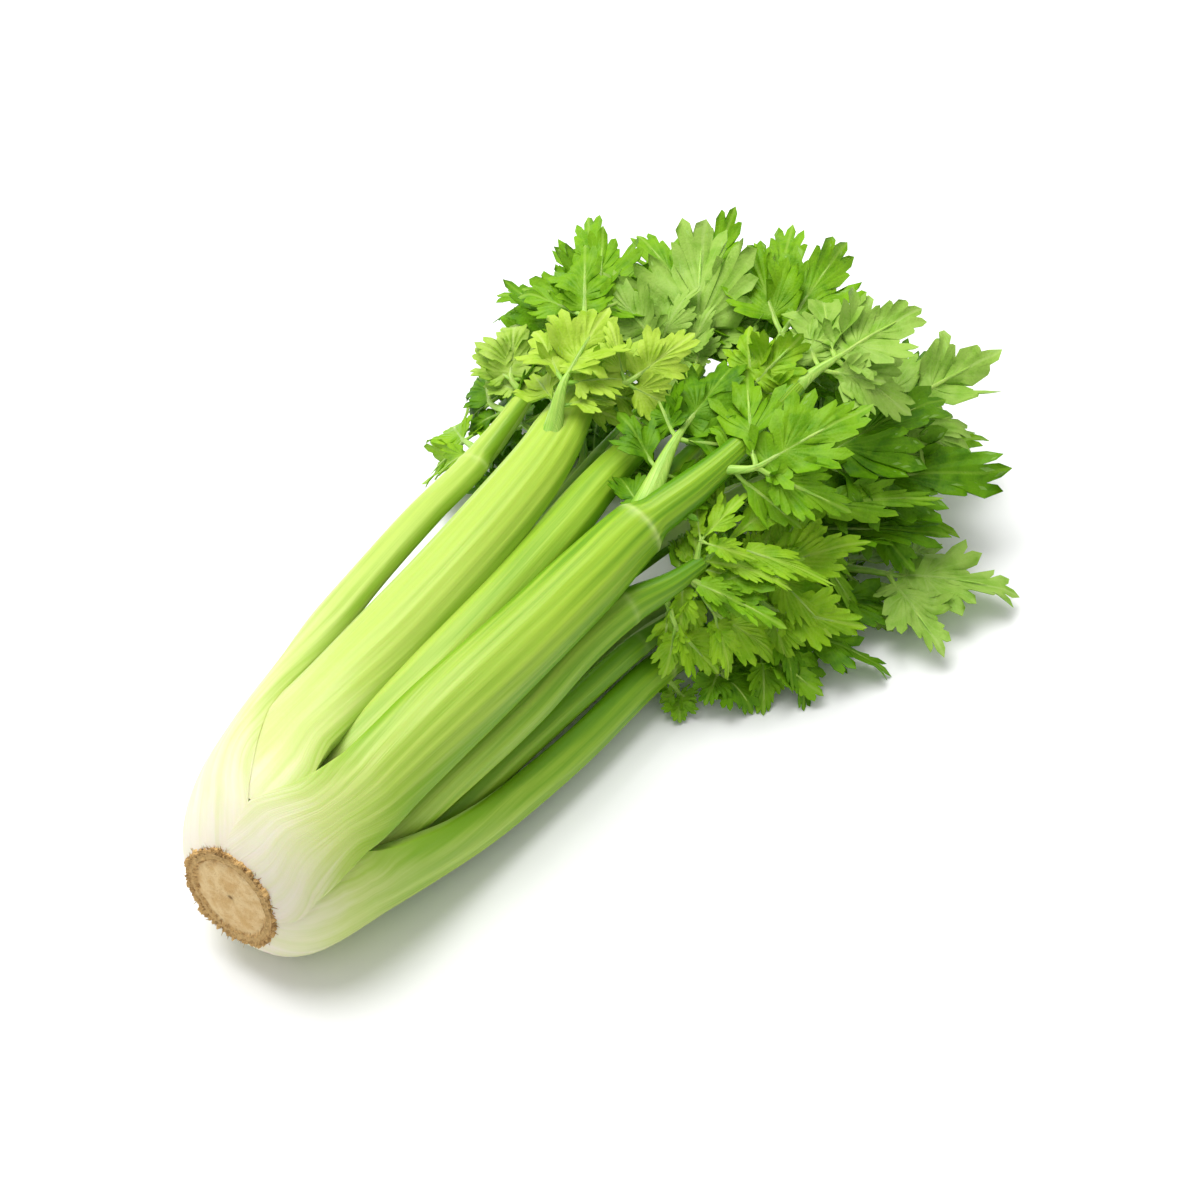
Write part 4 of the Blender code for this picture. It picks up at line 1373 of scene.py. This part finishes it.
def blade_skin(name, tone, dull):
    """One face of a blade. Dull turns it towards the grey-green of an underside."""
    plain, deep, vein_colour = TONES[tone]
    skin = Recipe(name)
    flat = skin.attribute("flat", "Vector")
    vein, midrib, reach = (skin.attribute(label) for label in ("vein", "midrib", "reach"))
    patch = skin.noise(flat, 1.6, detail=4.0, distortion=0.4)
    pucker = skin.noise(flat, 9.0, detail=2.0)
    cells = skin.add(
        "ShaderNodeTexVoronoi", {"feature": "DISTANCE_TO_EDGE"}, {"Vector": flat, "Scale": 6.5},
        output="Distance",
    )
    side_vein = (1 - skin.ease(vein + (pucker - 0.5) * 0.15, 0.12, 0.5)) * (1 - reach * 0.75)
    main_vein = 1 - skin.ease(midrib, 0.3, 0.85)
    small_vein = 1 - skin.ease(cells, 0.0, 0.09)
    colour = skin.blend(skin.ease(patch + reach * 0.12, 0.3, 0.75), deep, plain)
    colour = skin.blend(small_vein * 0.14, colour, vein_colour)
    colour = skin.blend(side_vein * 0.3, colour, vein_colour)
    colour = skin.blend(main_vein * 0.55, colour, vein_colour)
    if dull:
        colour = skin.blend(dull, colour, paint(176, 214, 122))
    height = skin.ease(vein, 0.0, 1.2) * 0.35 + skin.ease(cells, 0.0, 0.25) * 0.25 + pucker * 0.4
    bumps = skin.bump(height * (-1.0 if dull else 1.0), 0.0006, 0.42)
    skin.skin(Base_Color=colour, Roughness=(0.55 if dull else 0.38) + pucker * 0.18, Normal=bumps)
    skin.surface.inputs["Specular IOR Level"].default_value = 0.18
    glow = skin.blend(0.5, colour, paint(170, 220, 30))
    behind = skin.add("ShaderNodeBsdfTranslucent", {}, {"Color": glow})
    front = Wire(skin, skin.surface.outputs[0])
    both = skin.add("ShaderNodeMixShader", {}, {0: THROUGH, 1: front, 2: behind})
    skin.feed(skin.output.inputs["Surface"], both)
    return skin.material


def stem_skin():
    """The skin of the leaves' stems, in pale and green streaks along them."""
    skin = Recipe("stem_skin")
    flat = skin.attribute("flat", "Vector")
    streak = skin.noise(skin.stretch(flat, (26.0, 0.6, 1.0)), 1.0, detail=3.0)
    cloud = skin.noise(flat, 0.8)
    green = skin.ease(streak * 0.7 + cloud * 0.5, 0.35, 0.85)
    colour = skin.blend(green, paint(182, 214, 96), paint(118, 176, 34))
    skin.skin(
        Base_Color=colour, Roughness=0.36 + streak * 0.15, Normal=skin.bump(streak, 0.0004, 0.6),
        Subsurface_Weight=0.2, Subsurface_Radius=(0.5, 1.0, 0.25), Subsurface_Scale=0.003,
    )
    return skin.material


STEM_SKIN = stem_skin()
BLADES = {}
for tone in TONES:
    upper = blade_skin("blade_" + tone, tone, 0.0)
    lower = blade_skin("blade_" + tone + "_under", tone, DULLNESS)
    BLADES[tone] = (upper, lower)
print("leaf materials:", sorted(material.name for pair in BLADES.values() for material in pair))

# %% Put the leaves in place
for stalk in STALKS:
    for leaf in stalk.leaves:
        made = leaf_shape(stalk, leaf).make(leaf.name + "_blade", [*BLADES[leaf.tone], STEM_SKIN], sharp=50)
        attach(made, "root")
        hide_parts(leaf.name)
